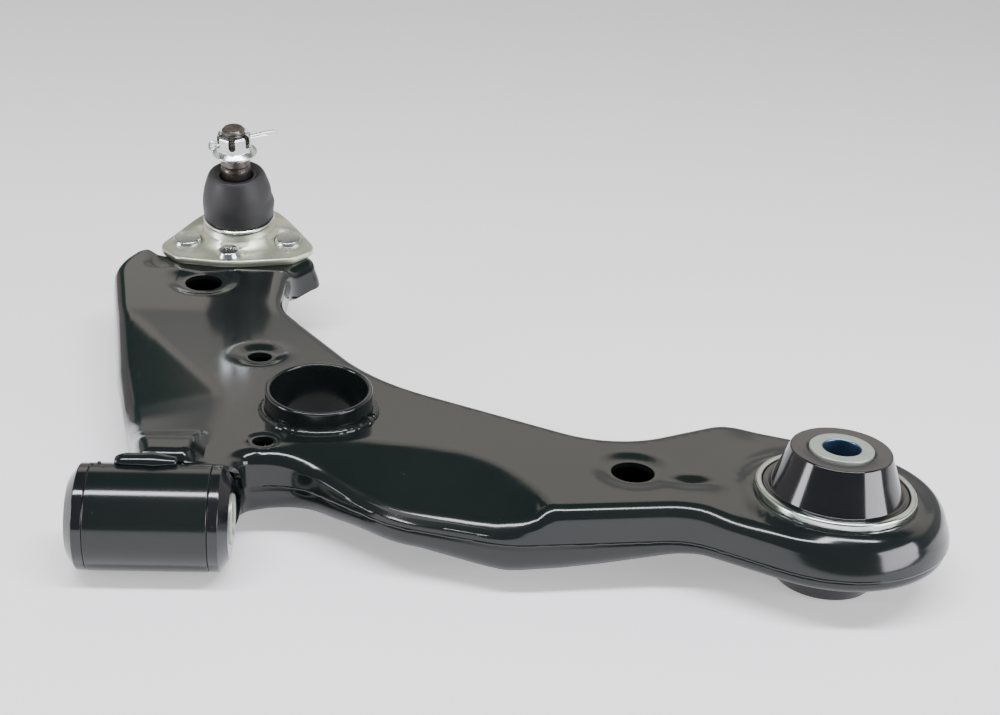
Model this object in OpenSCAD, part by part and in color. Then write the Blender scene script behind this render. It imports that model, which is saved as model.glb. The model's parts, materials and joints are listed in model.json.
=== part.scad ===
// Front lower control arm, right-hand side.
// Pressed clamshell arm with a horizontal front bush, a vertical rear bush
// and a riveted ball joint at the outboard end. Millimetres.
// Origin: centre of the front bush. +X rearward along its bore, +Y outboard, +Z up.

/* [Arm layout] */
// Front bush centre to rear bush axis, along X
bush_spacing = 301; // [250:1:365]
// Ball centre outboard of the front bush axis
ball_y = 303; // [250:1:365]
// Ball centre rearward of the front bush centre
ball_x = 12; // [0:1:30]
// Ball centre above the front bush axis
ball_z = 29; // [24:1:36]
// Lean of the ball joint, inboard at its top
ball_lean = 12; // [6:0.5:15]
// Lean of the ball joint, forward at its top
ball_cant = 2; // [0:0.5:5]

/* [Shells] */
// Sheet thickness of both pressings
sheet = 2.6; // [2:0.1:4]
// Height of the arm's flat top
arm_top = 18; // [15:0.5:22]
// Height of the arm's flat underside
arm_base = -5; // [-9:0.5:-3]
// Height of the underside along the inboard side
belly_z = -12; // [-16:0.5:-7]
// Height of the upper pressing's lower edge
seam_z = 2; // [-1:0.5:5]
// How far the lower pressing reaches up inside the upper one
seam_lap = 5; // [3:0.5:8]
// Radius of the arm around the rear bush
eye_r = 55; // [48:1:62]
// How far the eye's own centre sits outboard of the rear bush
eye_shift = 7; // [0:0.5:10]
// Radius of the large drain hole by the ball joint
hole_a_r = 10.4; // [8:0.2:13]
// Radius of the drain hole in the middle of the arm
hole_b_r = 6.2; // [4:0.2:9]
// Radius of the small hole beside the collar
hole_c_r = 5; // [3:0.2:7]
// Radius of the hole in the neck
hole_d_r = 10; // [7:0.2:14]

/* [Collar] */
// Outside radius of the through collar
collar_r = 25.5; // [20:0.5:28]
// Wall of the through collar
collar_wall = 2.5; // [2:0.1:4]
// Height of the collar's rim where its axis passes it
collar_top = 30; // [26:0.5:36]
// Lean of the collar, inboard at its top
collar_lean = 5; // [0:0.5:8]
// Collar centre rearward of the front bush centre
collar_x = 69; // [62:1:76]
// Collar centre outboard of the front bush axis
collar_y = 75; // [70:1:84]
// Fatness of the weld bead around the collar
collar_bead = 2.4; // [1.5:0.1:3]

/* [Front bush] */
// Outside radius of the welded tube
tube_r = 23.5; // [21:0.5:28]
// Wall of the welded tube
tube_wall = 3; // [2:0.1:5]
// Length of the welded tube
tube_len = 52; // [44:1:62]
// Thickness of each bush half's flange
front_flange_h = 8.5; // [6:0.5:12]
// Length of the straight rim before the flange's chamfer
front_flange_rim = 4.4; // [3:0.1:5]
// Radius of the flange's end face
front_face_r = 17.7; // [15:0.1:20]
// Outside radius of the front sleeve
front_sleeve_r = 11; // [10:0.1:13]
// Bolt bore radius of the front sleeve
front_bore_r = 7.1; // [6.1:0.1:8.1]
// How far the front sleeve stands out of each flange
front_sleeve_out = 1; // [0.5:0.1:2]

/* [Rear bush] */
// Outside radius of the plated ring
ring_r = 35.7; // [32:0.1:40]
// Wall of the plated ring
ring_wall = 3; // [2:0.1:4]
// Height of the plated ring
ring_h = 27.5; // [24:0.5:36]
// How far the ring stands above the arm
ring_proud = 4.5; // [2:0.5:8]
// Radius of the bush cones at the ring
cone_base_r = 29; // [26:0.5:31]
// Radius of the bush cones at their ends
cone_end_r = 22.4; // [19:0.1:25]
// Height of each bush cone above the ring
cone_h = 18.2; // [14:0.1:24]
// Outside radius of the rear sleeve
rear_sleeve_r = 14.3; // [12:0.1:16]
// Bolt bore radius of the rear sleeve
rear_bore_r = 8.3; // [7:0.1:9]
// How far the rear sleeve stands out of each cone
rear_sleeve_out = 0.8; // [0.4:0.1:2]

/* [Ball joint] */
// Radius of the ball
ball_r = 11; // [9:0.5:12]
// Outside radius of the housing's cup
cup_r = 17.5; // [16.5:0.5:19]
// Thickness of the housing's plate
plate_t = 4; // [3:0.5:5]
// Radius of the boot's seat on the housing
boot_seat_r = 19.6; // [18:0.2:21]
// Height of the boot's seat above the ball centre
boot_seat_z = 10; // [9:0.5:12]
// Widest radius of the boot
boot_r = 20.9; // [20:0.1:24]
// Height of the boot
boot_h = 31; // [26:0.5:36]
// Radius of the boot's upper rim
boot_rim_r = 16.4; // [14:0.2:18]
// Radius of the stud's shank
stud_r = 8.8; // [8:0.1:9.4]
// Height of the stud's shoulder above the ball centre
stud_shoulder = 53.5; // [50:0.5:60]
// Outside radius of the stud's thread
thread_r = 6.9; // [6:0.1:7.4]
// Length of the stud's threaded end
thread_len = 16.5; // [15:0.5:22]
// Width of the castle nut across its flats
nut_af = 19; // [17:0.5:22]
// Radius of the castle nut's flange
nut_flange_r = 12.9; // [12:0.1:15]
// Height of the castle nut
nut_h = 13; // [11:0.5:15]
// Radius of the split pin
pin_r = 1.45; // [1:0.05:1.6]
// Turn of the split pin and the nut's slots about the stud
pin_yaw = 28; // [0:1:59]

/* [Hidden] */
$fn = 72;

black = "#1c1f1f";
zinc = "#cfd3c6";
steel = "#5b574c";
rubber = "#2b2b2d";
nylon = "#e8e4d4";

// Clearances
gap = 0.05;          // between pieces that are fixed to each other
run_gap = 0.05;      // radial, of a sleeve or ball that turns
bush_gap = 0.3;      // between the rear bush halves and their ring
notch_gap = 1.5;     // around the housing where it drops into the arm
seat_gap = 0.1;      // between the housing's plate and the arm's top
eps = 0.01;
big = 500;

// Plan outline: [x, y, corner radius], anticlockwise seen from above
eye_c = [bush_spacing, eye_shift];
near_neck = [bush_spacing - 67, -15];
far_neck = [bush_spacing - 35, 77];
tube_end = tube_len / 2 + front_flange_h + 2.5;

function unit(v) = v / norm(v);
function angle_of(v) = atan2(v[1], v[0]);
function tangent_normal(p, c, r, side) =
    angle_of(c - p) + side * (asin(r / norm(c - p)) + 90);
// Corner where two tangents to the eye's circle meet
function eye_corner(c, r, n1, n2) =
    c + r / cos((n2 - n1) / 2) * [cos((n1 + n2) / 2), sin((n1 + n2) / 2)];

eye_n1 = tangent_normal(near_neck, eye_c, eye_r, -1);
eye_n2 = tangent_normal(far_neck, eye_c, eye_r, 1);
eye_mid = (eye_n1 + eye_n2) / 2;
eye_v1 = eye_corner(eye_c, eye_r, eye_n1, eye_mid);
eye_v2 = eye_corner(eye_c, eye_r, eye_mid, eye_n2);

plan = [
    [-8, 10, 2],
    [tube_end, 10, 2],
    [tube_end, tube_r + 2.5, 5],
    [tube_end + 23, tube_r + 6.5, 30],
    [bush_spacing - 197, -7, 50],
    [bush_spacing - 146, -23, 40],
    [near_neck[0], near_neck[1], 30],
    [eye_v1[0], eye_v1[1], eye_r],
    [eye_v2[0], eye_v2[1], eye_r],
    [far_neck[0], far_neck[1], 30],
    [bush_spacing - 93, 49, 45],
    [ball_x + 85, collar_y + 42, 120],
    [ball_x + 31, ball_y - 89, 50],
    [ball_x + 33, ball_y - 45, 25],
    [ball_x + 57, ball_y - 19, 8],
    [ball_x - 58, ball_y - 17.5, 12],
    [ball_x - 70, ball_y - 43, 48],
    [-36, 135, 120]
];

// Points of one rounded corner, moved inwards by inset
function corner_arc(a, p, b, r0, inset) =
    let (d1 = unit(a - p), d2 = unit(b - p), half = acos(d1 * d2) / 2)
    let (turn = cross(p - a, b - p) > 0 ? 1 : -1, bis = unit(d1 + d2))
    let (q = p + turn * bis * inset / sin(half), r = max(r0 - turn * inset, 0.3))
    let (c = q + bis * r / sin(half), a0 = angle_of(q + d1 * r / tan(half) - c))
    let (sweep = 180 - 2 * half, n = max(2, ceil(sweep / 7)))
    [for (i = [0:n]) c + r * [cos(a0 + turn * sweep * i / n), sin(a0 + turn * sweep * i / n)]];
function xy(p) = [p[0], p[1]];
function rounded(pts, inset = 0) =
    let (n = len(pts))
    [for (i = [0:n - 1])
        each corner_arc(xy(pts[(i + n - 1) % n]), xy(pts[i]), xy(pts[(i + 1) % n]), pts[i][2], inset)];

// Ball joint frame: origin at the ball centre, +Z along the stud
module ball_frame() {
    translate([ball_x, ball_y, ball_z])
        rotate([ball_lean, -ball_cant, 0])
            children();
}
module collar_frame() {
    translate([collar_x, collar_y, collar_top])
        rotate([collar_lean, 0, 0])
            children();
}

// The arm is flat up to a bend, then rises parallel to the ball joint's plate. The slope frame
// has its origin under the ball centre and its Y axis up the steepest slope.
plate_low = plate_t / 2;
seat_drop = plate_low + seat_gap;
slope = acos(cos(ball_lean) * cos(ball_cant));
slope_yaw = atan2(cos(ball_lean) * sin(ball_cant), sin(ball_lean));
seat_v = seat_drop * sin(slope);
seat_z = ball_z - seat_drop * cos(slope);
bend_v = seat_v - (seat_z - arm_top) / tan(slope);
function rise(v) = v <= bend_v ? 0 : (v - bend_v) * tan(slope);
module slope_profile(points) {
    translate([ball_x, ball_y, 0])
        rotate([0, 0, -slope_yaw])
            translate([-big, 0, 0])
                rotate([90, 0, 90])
                    linear_extrude(2 * big)
                        polygon(points);
}
module slab(low, high) {
    slope_profile([[-big, low], [bend_v, low], [big, low + rise(big)],
        [big, high + rise(big)], [bend_v, high], [-big, high]]);
}
module prism(inset) {
    translate([0, 0, -60])
        linear_extrude(200)
            polygon(rounded(plan, inset));
}
module layer(inset, low, high) {
    intersection() {
        prism(inset);
        slab(low, high);
    }
}

// Underside: deeper along the inboard side, and rising into the upper pressing at the ball joint
taper_clear = 8;     // level run between the end of the rise and the bend
taper_run = 54;      // length over which the underside rises
taper_end = bend_v - taper_clear;
taper_v = taper_end - taper_run;
tuck_z = seam_z + 1.5;
belly_x = bush_spacing - 51;   // the belly begins beyond a slanting line from here
belly_y = -30;
belly_yaw = -23;
belly_slope = 30;    // width of its sloping side
belly_run_out = 1;   // how far that side runs on into the flat underside
module underside(lift, high) {
    tuck = tuck_z + lift;
    base = arm_base + lift;
    deep = belly_z + lift;
    over = base + 1;
    slope_profile([[-big, base], [taper_v, base], [taper_end, tuck], [bend_v, tuck],
        [big, tuck + rise(big)], [big, high + rise(big)], [bend_v, high], [-big, high]]);
    translate([belly_x, belly_y, 0])
        rotate([0, 0, belly_yaw])
            translate([-big, 0, 0])
                rotate([90, 0, 90])
                    linear_extrude(2 * big)
                        polygon([[-big, deep], [-belly_slope, deep], [belly_run_out, base + 0.4],
                            [belly_run_out, over], [-big, over]]);
}

// Cylinder along X, centred on the front bush axis
module x_cylinder(r, len) {
    rotate([0, 90, 0])
        cylinder(h = len, r = r, center = true);
}
// Upright cylinder at [x, y] that passes right through the arm
module post(x, y, r) {
    translate([x, y, -60])
        cylinder(h = 120, r = r);
}

rivet_side = [30, -13.5];
rivet_nose = [-4, -30];
rivet_spots = [[-rivet_side[0], rivet_side[1]], rivet_side];
all_rivets = concat(rivet_spots, [rivet_nose]);
shank_r = 4;
tail_r = shank_r + 2.4;
tail_room = 0.3;     // around the tails and above them
grip = plate_t + sheet + 2 * seat_gap;
ear_r = 9.5;
ear_root = 16;       // how far the ears reach back over the arm

module housing_notch() {
    ball_frame() {
        cylinder(h = 90, r = cup_r + notch_gap, center = true);
        translate([-cup_r - notch_gap, 0, -45])
            cube([2 * (cup_r + notch_gap), 80, 90]);
    }
}
// Flat ears that carry the side rivets beyond the arm's far wall
module rivet_ears() {
    intersection() {
        slab(arm_top - sheet, arm_top);
        ball_frame()
            for (p = rivet_spots)
                translate([p[0], p[1], -20])
                    linear_extrude(40)
                        polygon(rounded([[-ear_r, -ear_root, 1], [ear_r, -ear_root, 1],
                            [ear_r, ear_r, ear_r - 1], [-ear_r, ear_r, ear_r - 1]]));
    }
}
module shell_cuts() {
    x_cylinder(tube_r + gap, 2 * tube_end);
    post(bush_spacing, 0, ring_r + gap);
    collar_frame()
        cylinder(h = 140, r = collar_r + gap, center = true);
    housing_notch();
}

// Bridge piece of the upper pressing that lies over the tube's top
saddle_w = 25;
saddle_x = -11;
saddle_y = 6;
saddle_top = tube_r + 3.2;
module saddle() {
    translate([saddle_x, 0, 0])
        rotate([90, 0, 90])
            linear_extrude(saddle_w)
                polygon([[tube_r + 14, arm_top - sheet], [tube_r + 14, arm_top],
                    [tube_r + 3, saddle_top - 1.7], [tube_r - 2, saddle_top],
                    [saddle_y, saddle_top], [saddle_y, saddle_top - sheet],
                    [tube_r - 3, saddle_top - sheet], [tube_r + 1, saddle_top - 4.7]]);
}

module upper_shell() {
    color(black) difference() {
        union() {
            difference() {
                layer(0, seam_z, arm_top);
                layer(sheet, seam_z - 1, arm_top - sheet);
            }
            saddle();
            rivet_ears();
        }
        shell_cuts();
        post(ball_x - 15.5, ball_y - 61.5, hole_a_r);
        post(ball_x + 24, ball_y - 161, hole_b_r);
        post(collar_x - 24, collar_y - 33, hole_c_r);
        post(bush_spacing - 88, 20, hole_d_r);
        ball_frame() {
            for (p = all_rivets)
                translate([p[0], p[1], -plate_low - 14])
                    cylinder(h = 14, r = shank_r + gap);
            for (p = rivet_spots)
                translate([p[0], p[1], plate_low - grip - 6 + tail_room])
                    cylinder(h = 6, r = tail_r + tail_room);
        }
    }
}

module lower_shell() {
    wall = sheet + gap;
    color(black) difference() {
        intersection() {
            prism(wall);
            underside(0, seam_z + seam_lap);
        }
        intersection() {
            prism(wall + sheet);
            underside(sheet, seam_z + seam_lap + 1);
        }
        shell_cuts();
    }
}

module front_tube() {
    color(black) difference() {
        x_cylinder(tube_r, tube_len);
        x_cylinder(tube_r - tube_wall, tube_len + 1);
    }
}

// Fat bead where the saddle's edge meets the tube
bead_len = 27;
bead_r = 3.2;
module tube_weld() {
    color(black) difference() {
        translate([saddle_x + 5, saddle_y - 1.5, tube_r + 0.6]) {
            x_cylinder(bead_r, bead_len);
            for (s = [-1, 1])
                translate([s * bead_len / 2, 0, 0])
                    sphere(r = bead_r);
        }
        x_cylinder(tube_r + gap, 2 * tube_end);
        translate([saddle_x - gap, saddle_y - gap, 0])
            cube([saddle_w + 2 * gap, 20, 60]);
    }
}

collar_len = collar_top - arm_base + 6;
module centre_collar() {
    color(black) collar_frame() translate([0, 0, -collar_len]) difference() {
        cylinder(h = collar_len, r = collar_r);
        translate([0, 0, -1])
            cylinder(h = collar_len + 2, r = collar_r - collar_wall);
    }
}
module collar_weld() {
    foot_y = collar_y + (collar_top - arm_top) * tan(collar_lean);
    color(black) difference() {
        translate([collar_x, foot_y, arm_top])
            rotate_extrude()
                translate([collar_r + 0.6, 0])
                    circle(r = collar_bead);
        collar_frame()
            cylinder(h = 140, r = collar_r + gap, center = true);
        slab(-40, arm_top + gap);
    }
}

// One half of the front bush: flange outwards along +X
module front_bush_half() {
    end_x = tube_len / 2 + front_flange_h;
    rotate([0, 90, 0]) difference() {
        rotate_extrude()
            polygon([[0, 0.1], [tube_r - tube_wall - gap, 0.1],
                [tube_r - tube_wall - gap, tube_len / 2 + gap], [tube_r - 0.2, tube_len / 2 + gap],
                [tube_r - 0.2, tube_len / 2 + front_flange_rim], [front_face_r, end_x], [0, end_x]]);
        translate([0, 0, -1])
            cylinder(h = end_x + 2, r = front_sleeve_r + run_gap);
    }
}
module front_bush_half_aft() {
    color(black) front_bush_half();
}
module front_bush_half_fore() {
    color(black) mirror([1, 0, 0]) front_bush_half();
}
module front_sleeve() {
    sleeve_len = tube_len + 2 * (front_flange_h + front_sleeve_out);
    color(zinc) difference() {
        x_cylinder(front_sleeve_r, sleeve_len);
        x_cylinder(front_bore_r, sleeve_len + 1);
    }
}

ring_top = arm_top + ring_proud;
ring_mid = ring_top - ring_h / 2;
module rear_bush_ring() {
    color(zinc) translate([bush_spacing, 0, ring_top - ring_h]) difference() {
        cylinder(h = ring_h, r = ring_r);
        translate([0, 0, -1])
            cylinder(h = ring_h + 2, r = ring_r - ring_wall);
    }
}
// One half of the rear bush: cone outwards along +Z, from the ring's middle
module rear_bush_half() {
    shank = ring_r - ring_wall - bush_gap;
    difference() {
        rotate_extrude()
            polygon([[0, 0.1], [shank, 0.1], [shank, ring_h / 2], [cone_base_r, ring_h / 2],
                [cone_end_r, ring_h / 2 + cone_h], [0, ring_h / 2 + cone_h]]);
        translate([0, 0, -1])
            cylinder(h = ring_h + cone_h + 2, r = rear_sleeve_r + run_gap);
    }
}
module rear_bush_upper() {
    color(black) translate([bush_spacing, 0, ring_mid]) rear_bush_half();
}
module rear_bush_lower() {
    color(black) translate([bush_spacing, 0, ring_mid]) mirror([0, 0, 1]) rear_bush_half();
}
module rear_sleeve() {
    sleeve_h = ring_h + 2 * (cone_h + rear_sleeve_out);
    color(zinc) translate([bush_spacing, 0, ring_mid]) difference() {
        cylinder(h = sleeve_h, r = rear_sleeve_r, center = true);
        cylinder(h = sleeve_h + 1, r = rear_bore_r, center = true);
    }
}

// Ball joint housing, in the ball joint frame
plate = [[-34, -33, 12], [-8, -37.5, 14], [3, -37.5, 14], [34, -34, 12], [47, -22, 9],
    [34, 2, 12], [18, 26, 16], [-18, 26, 16], [-34, 2, 12], [-47, -20, 9]];
seat_r = ball_r + 3;
seat_top = 5;
cup_depth = 17.5;
cap_t = 2.5;
cap_r = seat_r + 1.2;
cap_z = -ball_r - 1.5;
module ball_joint_housing() {
    color(zinc) ball_frame() difference() {
        union() {
            translate([0, 0, -plate_low])
                linear_extrude(plate_t)
                    polygon(rounded(plate));
            rotate_extrude()
                polygon([[0, -cup_depth], [cup_r, -cup_depth], [cup_r, plate_low],
                    [cup_r + 13, plate_low], [cup_r + 8, plate_low + 1.4],
                    [boot_seat_r + 2.2, boot_seat_z - 4], [boot_seat_r + 0.6, boot_seat_z - 0.8],
                    [boot_seat_r - 1.4, boot_seat_z - 0.8], [boot_seat_r - 1.4, boot_seat_z + 2],
                    [0, boot_seat_z + 2]]);
        }
        // cavity for the seats, the cap's groove and the flared mouth
        translate([0, 0, cap_z - cap_t])
            cylinder(h = seat_top - cap_z + cap_t + gap, r = seat_r);
        translate([0, 0, cap_z - cap_t - gap])
            cylinder(h = cap_t + 2 * gap, r = cap_r + gap);
        translate([0, 0, -cup_depth - 1])
            cylinder(h = 6, r = seat_r - 1);
        translate([0, 0, seat_top])
            cylinder(h = boot_seat_z + 2 - seat_top + eps, r1 = ball_r - 0.3, r2 = ball_r + 3.8);
        for (p = all_rivets) {
            translate([p[0], p[1], -10])
                cylinder(h = 20, r = shank_r + gap);
            translate([p[0], p[1], plate_low])
                cylinder(h = 10, r = side_head_r + 0.3);
        }
    }
}
module seat_blank(low, high) {
    ball_frame() difference() {
        translate([0, 0, low])
            cylinder(h = high - low, r = seat_r - gap);
        sphere(r = ball_r + run_gap);
    }
}
module ball_seat_upper() {
    color(nylon) seat_blank(gap, seat_top - gap);
}
module ball_seat_lower() {
    color(nylon) seat_blank(cap_z + gap, -gap);
}
module housing_cap() {
    color(zinc) ball_frame()
        translate([0, 0, cap_z - cap_t])
            cylinder(h = cap_t, r = cap_r);
}

// Rivet with its head on the plate and its tail under the upper pressing
side_head_r = 8.6;
nose_head_r = 7.1;
tail_h = 2.6;
module rivet(head_r, head_h) {
    translate([0, 0, plate_low + gap])
        cylinder(h = head_h, r1 = head_r, r2 = head_r - 1.4);
    translate([0, 0, plate_low - grip - tail_h])
        cylinder(h = grip + tail_h + 2 * gap, r = shank_r);
    translate([0, 0, plate_low - grip - tail_h])
        cylinder(h = tail_h, r = tail_r);
}
module side_rivets() {
    color(zinc) ball_frame()
        for (p = rivet_spots)
            translate([p[0], p[1], 0])
                rivet(side_head_r, 2.4);
}
module nose_rivet() {
    color(zinc) ball_frame()
        translate([rivet_nose[0], rivet_nose[1], 0])
            rivet(nose_head_r, 4);
}

// Boot and its two rings
boot_t = 2;
lip_r = stud_r + bush_gap;
boot_top = boot_seat_z + boot_h;
boot_bulge = boot_seat_z + 10;
clip_r = 0.9;
groove_r = boot_r - 1.7;
module dust_boot() {
    color(rubber) ball_frame() difference() {
        rotate_extrude()
            polygon([[boot_seat_r - 1.1, boot_seat_z], [groove_r, boot_seat_z],
                [groove_r, boot_seat_z + 2.2], [boot_r - 0.3, boot_seat_z + 3],
                [boot_r, boot_bulge], [boot_r - 0.8, boot_bulge + 6],
                [boot_rim_r + 0.4, boot_top - 2.5], [boot_rim_r, boot_top - 0.8],
                [boot_rim_r - 1, boot_top], [lip_r + 2.5, boot_top - 1.2],
                [lip_r, boot_top - 4], [lip_r, boot_top - 9], [lip_r + 4, boot_top - 9],
                [boot_rim_r - 1.6, boot_top - 7], [boot_r - boot_t, boot_bulge + 4],
                [boot_r - boot_t, boot_bulge - 5]]);
        // groove that holds the lip ring
        translate([0, 0, boot_top - 7])
            cylinder(h = 2 + 2 * gap, r = lip_r + 2.2);
    }
}
module boot_lip_ring() {
    color(zinc) ball_frame() translate([0, 0, boot_top - 7 + gap]) difference() {
        cylinder(h = 2, r = lip_r + 2.2 - bush_gap);
        translate([0, 0, -1])
            cylinder(h = 4, r = lip_r + 0.3);
    }
}
module boot_base_ring() {
    color(zinc) ball_frame()
        rotate_extrude()
            translate([groove_r + clip_r + gap, boot_seat_z + 1.1])
                circle(r = clip_r);
}

// Stud, nut and split pin
pin_z = stud_shoulder + 8.2;
module ball_stud() {
    neck_r = 6.2;
    color(steel) ball_frame() difference() {
        union() {
            sphere(r = ball_r);
            rotate_extrude()
                polygon([[0, 0], [neck_r, 0], [neck_r, ball_r + 5], [stud_r, ball_r + 13],
                    [stud_r, stud_shoulder - gap], [thread_r, stud_shoulder - gap],
                    [thread_r, stud_shoulder + thread_len - 0.8],
                    [thread_r - 0.8, stud_shoulder + thread_len], [0, stud_shoulder + thread_len]]);
        }
        translate([0, 0, pin_z])
            rotate([0, 0, pin_yaw])
                x_cylinder(pin_r + 0.15, 60);
    }
}
module castle_nut() {
    slot_w = 2 * pin_r + 0.9;
    slot_z = pin_z - pin_r - 0.5;
    flange_t = 1.2;
    color(zinc) ball_frame() rotate([0, 0, pin_yaw]) difference() {
        union() {
            translate([0, 0, stud_shoulder])
                cylinder(h = flange_t, r = nut_flange_r);
            translate([0, 0, stud_shoulder + flange_t])
                cylinder(h = 2.4, r1 = nut_flange_r, r2 = nut_af / 2);
            translate([0, 0, stud_shoulder + flange_t])
                rotate([0, 0, 30])
                    cylinder(h = nut_h - flange_t, r = nut_af / 2 / cos(30), $fn = 6);
        }
        translate([0, 0, stud_shoulder - 1])
            cylinder(h = nut_h + 2, r = thread_r + gap);
        for (a = [0:60:120])
            rotate([0, 0, a])
                translate([-20, -slot_w / 2, slot_z])
                    cube([40, slot_w, 20]);
    }
}
pin_reach = 24;
loop_r = 2.4;
module split_pin() {
    color(zinc) ball_frame() translate([0, 0, pin_z]) rotate([0, 0, pin_yaw]) {
        rotate([0, 90, 0])
            translate([0, 0, -nut_af / 2 - 2])
                cylinder(h = pin_reach + nut_af / 2 + 2, r = pin_r - 0.05);
        translate([-nut_af / 2 - 2 - loop_r, 0, 0])
            rotate([90, 0, 0])
                rotate_extrude()
                    translate([loop_r, 0])
                        circle(r = pin_r * 0.75);
        translate([pin_reach, 0, 0])
            rotate([0, 62, 0])
                cylinder(h = 4, r = pin_r * 0.7);
    }
}

upper_shell();
lower_shell();
front_tube();
tube_weld();
centre_collar();
collar_weld();
front_bush_half_fore();
front_bush_half_aft();
front_sleeve();
rear_bush_ring();
rear_bush_upper();
rear_bush_lower();
rear_sleeve();
ball_joint_housing();
ball_seat_upper();
ball_seat_lower();
housing_cap();
side_rivets();
nose_rivet();
boot_base_ring();
dust_boot();
boot_lip_ring();
ball_stud();
castle_nut();
split_pin();
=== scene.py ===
import json
import math

import bmesh
import bpy
from mathutils import Matrix, Vector, noise


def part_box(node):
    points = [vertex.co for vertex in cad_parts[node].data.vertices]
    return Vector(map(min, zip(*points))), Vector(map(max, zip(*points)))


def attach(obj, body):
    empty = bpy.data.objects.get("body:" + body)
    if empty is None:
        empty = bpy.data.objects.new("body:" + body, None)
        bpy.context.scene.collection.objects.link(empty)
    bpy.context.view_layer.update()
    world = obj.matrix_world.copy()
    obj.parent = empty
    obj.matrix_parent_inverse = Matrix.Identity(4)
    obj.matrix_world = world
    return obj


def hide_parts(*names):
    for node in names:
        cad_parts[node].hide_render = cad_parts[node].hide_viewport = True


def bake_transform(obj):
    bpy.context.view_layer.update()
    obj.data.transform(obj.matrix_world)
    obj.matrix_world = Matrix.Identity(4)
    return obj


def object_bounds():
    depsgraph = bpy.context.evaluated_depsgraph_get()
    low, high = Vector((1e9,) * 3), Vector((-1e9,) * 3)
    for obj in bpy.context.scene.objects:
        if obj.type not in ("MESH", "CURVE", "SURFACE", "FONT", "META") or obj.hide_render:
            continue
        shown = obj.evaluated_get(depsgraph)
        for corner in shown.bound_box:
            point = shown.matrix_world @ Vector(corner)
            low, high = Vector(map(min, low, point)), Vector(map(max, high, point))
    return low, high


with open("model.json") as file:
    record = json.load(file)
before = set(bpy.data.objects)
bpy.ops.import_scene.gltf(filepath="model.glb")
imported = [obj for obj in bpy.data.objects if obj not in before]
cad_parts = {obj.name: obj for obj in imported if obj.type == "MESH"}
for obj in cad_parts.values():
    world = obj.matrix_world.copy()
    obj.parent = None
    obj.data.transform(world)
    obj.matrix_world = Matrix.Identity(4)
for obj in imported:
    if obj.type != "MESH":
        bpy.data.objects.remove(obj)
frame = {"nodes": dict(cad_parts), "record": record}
cadBounds = [list(corner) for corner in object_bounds()]
mm = 0.001
record = frame["record"]
joints = {joint["name"]: joint for joint in record["behaviour"]["joints"]}
mounts = {mount["name"]: mount for mount in record["mounts"]}


# Places in the frame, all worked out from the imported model

def middle(node):
    low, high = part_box(node)
    return (low + high) / 2


def sizeOf(node):
    low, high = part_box(node)
    return (high - low) / mm


def axisMatrix(origin, axis, start=(1, 0, 0)):
    z = Vector(axis).normalized()
    x = (Vector(start) - z * Vector(start).dot(z)).normalized()
    turn = Matrix((x, z.cross(x), z)).transposed().to_4x4()
    return Matrix.Translation(Vector(origin)) @ turn


ballFrame = axisMatrix(joints["ball_spin"]["pos_m"], joints["ball_spin"]["axis"])
rearFrame = axisMatrix(joints["rear_sleeve_turn"]["pos_m"], (0, 0, 1))
foreFrame = axisMatrix((0, 0, 0), (-1, 0, 0), (0, 1, 0))
aftFrame = axisMatrix((0, 0, 0), (1, 0, 0), (0, 1, 0))
collarFrame = axisMatrix(mounts["centre_collar_bore"]["pos_m"], mounts["centre_collar_bore"]["axis"])

ballX, ballY, ballZ = [value / mm for value in joints["ball_spin"]["pos_m"]]
rearX = joints["rear_sleeve_turn"]["pos_m"][0] / mm


# Mesh helpers

def smoothStep(low, high, value):
    t = min(max((value - low) / (high - low), 0), 1)
    return t * t * (3 - 2 * t)


def bump(centre, width, value):
    return math.exp(-((value - centre) / width) ** 2)


def cornerArc(before, here, after, radius, inset, spacing):
    toBefore = (before - here).normalized()
    toAfter = (after - here).normalized()
    half = math.acos(max(-1, min(1, toBefore.dot(toAfter)))) / 2
    side = 1 if (here - before).cross(after - here) > 0 else -1
    bisector = (toBefore + toAfter).normalized()
    corner = here + side * bisector * inset / math.sin(half)
    arcRadius = max(radius - side * inset, 0.3)
    centre = corner + bisector * arcRadius / math.sin(half)
    first = corner + toBefore * arcRadius / math.tan(half) - centre
    sweep = math.pi - 2 * half
    count = max(2, math.ceil(max(sweep / math.radians(7), radius * sweep / spacing)))
    points = []
    for i in range(count + 1):
        points.append(centre + Matrix.Rotation(side * sweep * i / count, 2) @ first)
    return points


def roundedOutline(corners, inset=0, spacing=4):
    # closed outline with arcs at its corners; every inset gives the same number of points
    spots = [Vector(corner[:2]) for corner in corners]
    total = len(spots)
    arcs = []
    plain = []
    for i in range(total):
        ends = spots[i - 1], spots[i], spots[(i + 1) % total]
        arcs.append(cornerArc(*ends, corners[i][2], inset, spacing))
        plain.append(cornerArc(*ends, corners[i][2], 0, spacing))
    points = []
    for i in range(total):
        points += arcs[i]
        start, end = arcs[i][-1], arcs[(i + 1) % total][0]
        gap = (plain[(i + 1) % total][0] - plain[i][-1]).length
        steps = math.ceil(gap / spacing)
        points += [start.lerp(end, k / steps) for k in range(1, steps)]
        if gap < 0.05:
            points.pop()
    return points


def roundedProfile(corners, closed=True):
    # profile of (r, z, corner radius) with arcs at its corners
    spots = [Vector(corner[:2]) for corner in corners]
    total = len(spots)
    points = []
    for i, corner in enumerate(corners):
        isEnd = not closed and i in (0, total - 1)
        if corner[2] == 0 or isEnd:
            points.append(spots[i])
        else:
            points += cornerArc(spots[i - 1], spots[i], spots[(i + 1) % total], corner[2], 0, 50)
    return points


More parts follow.
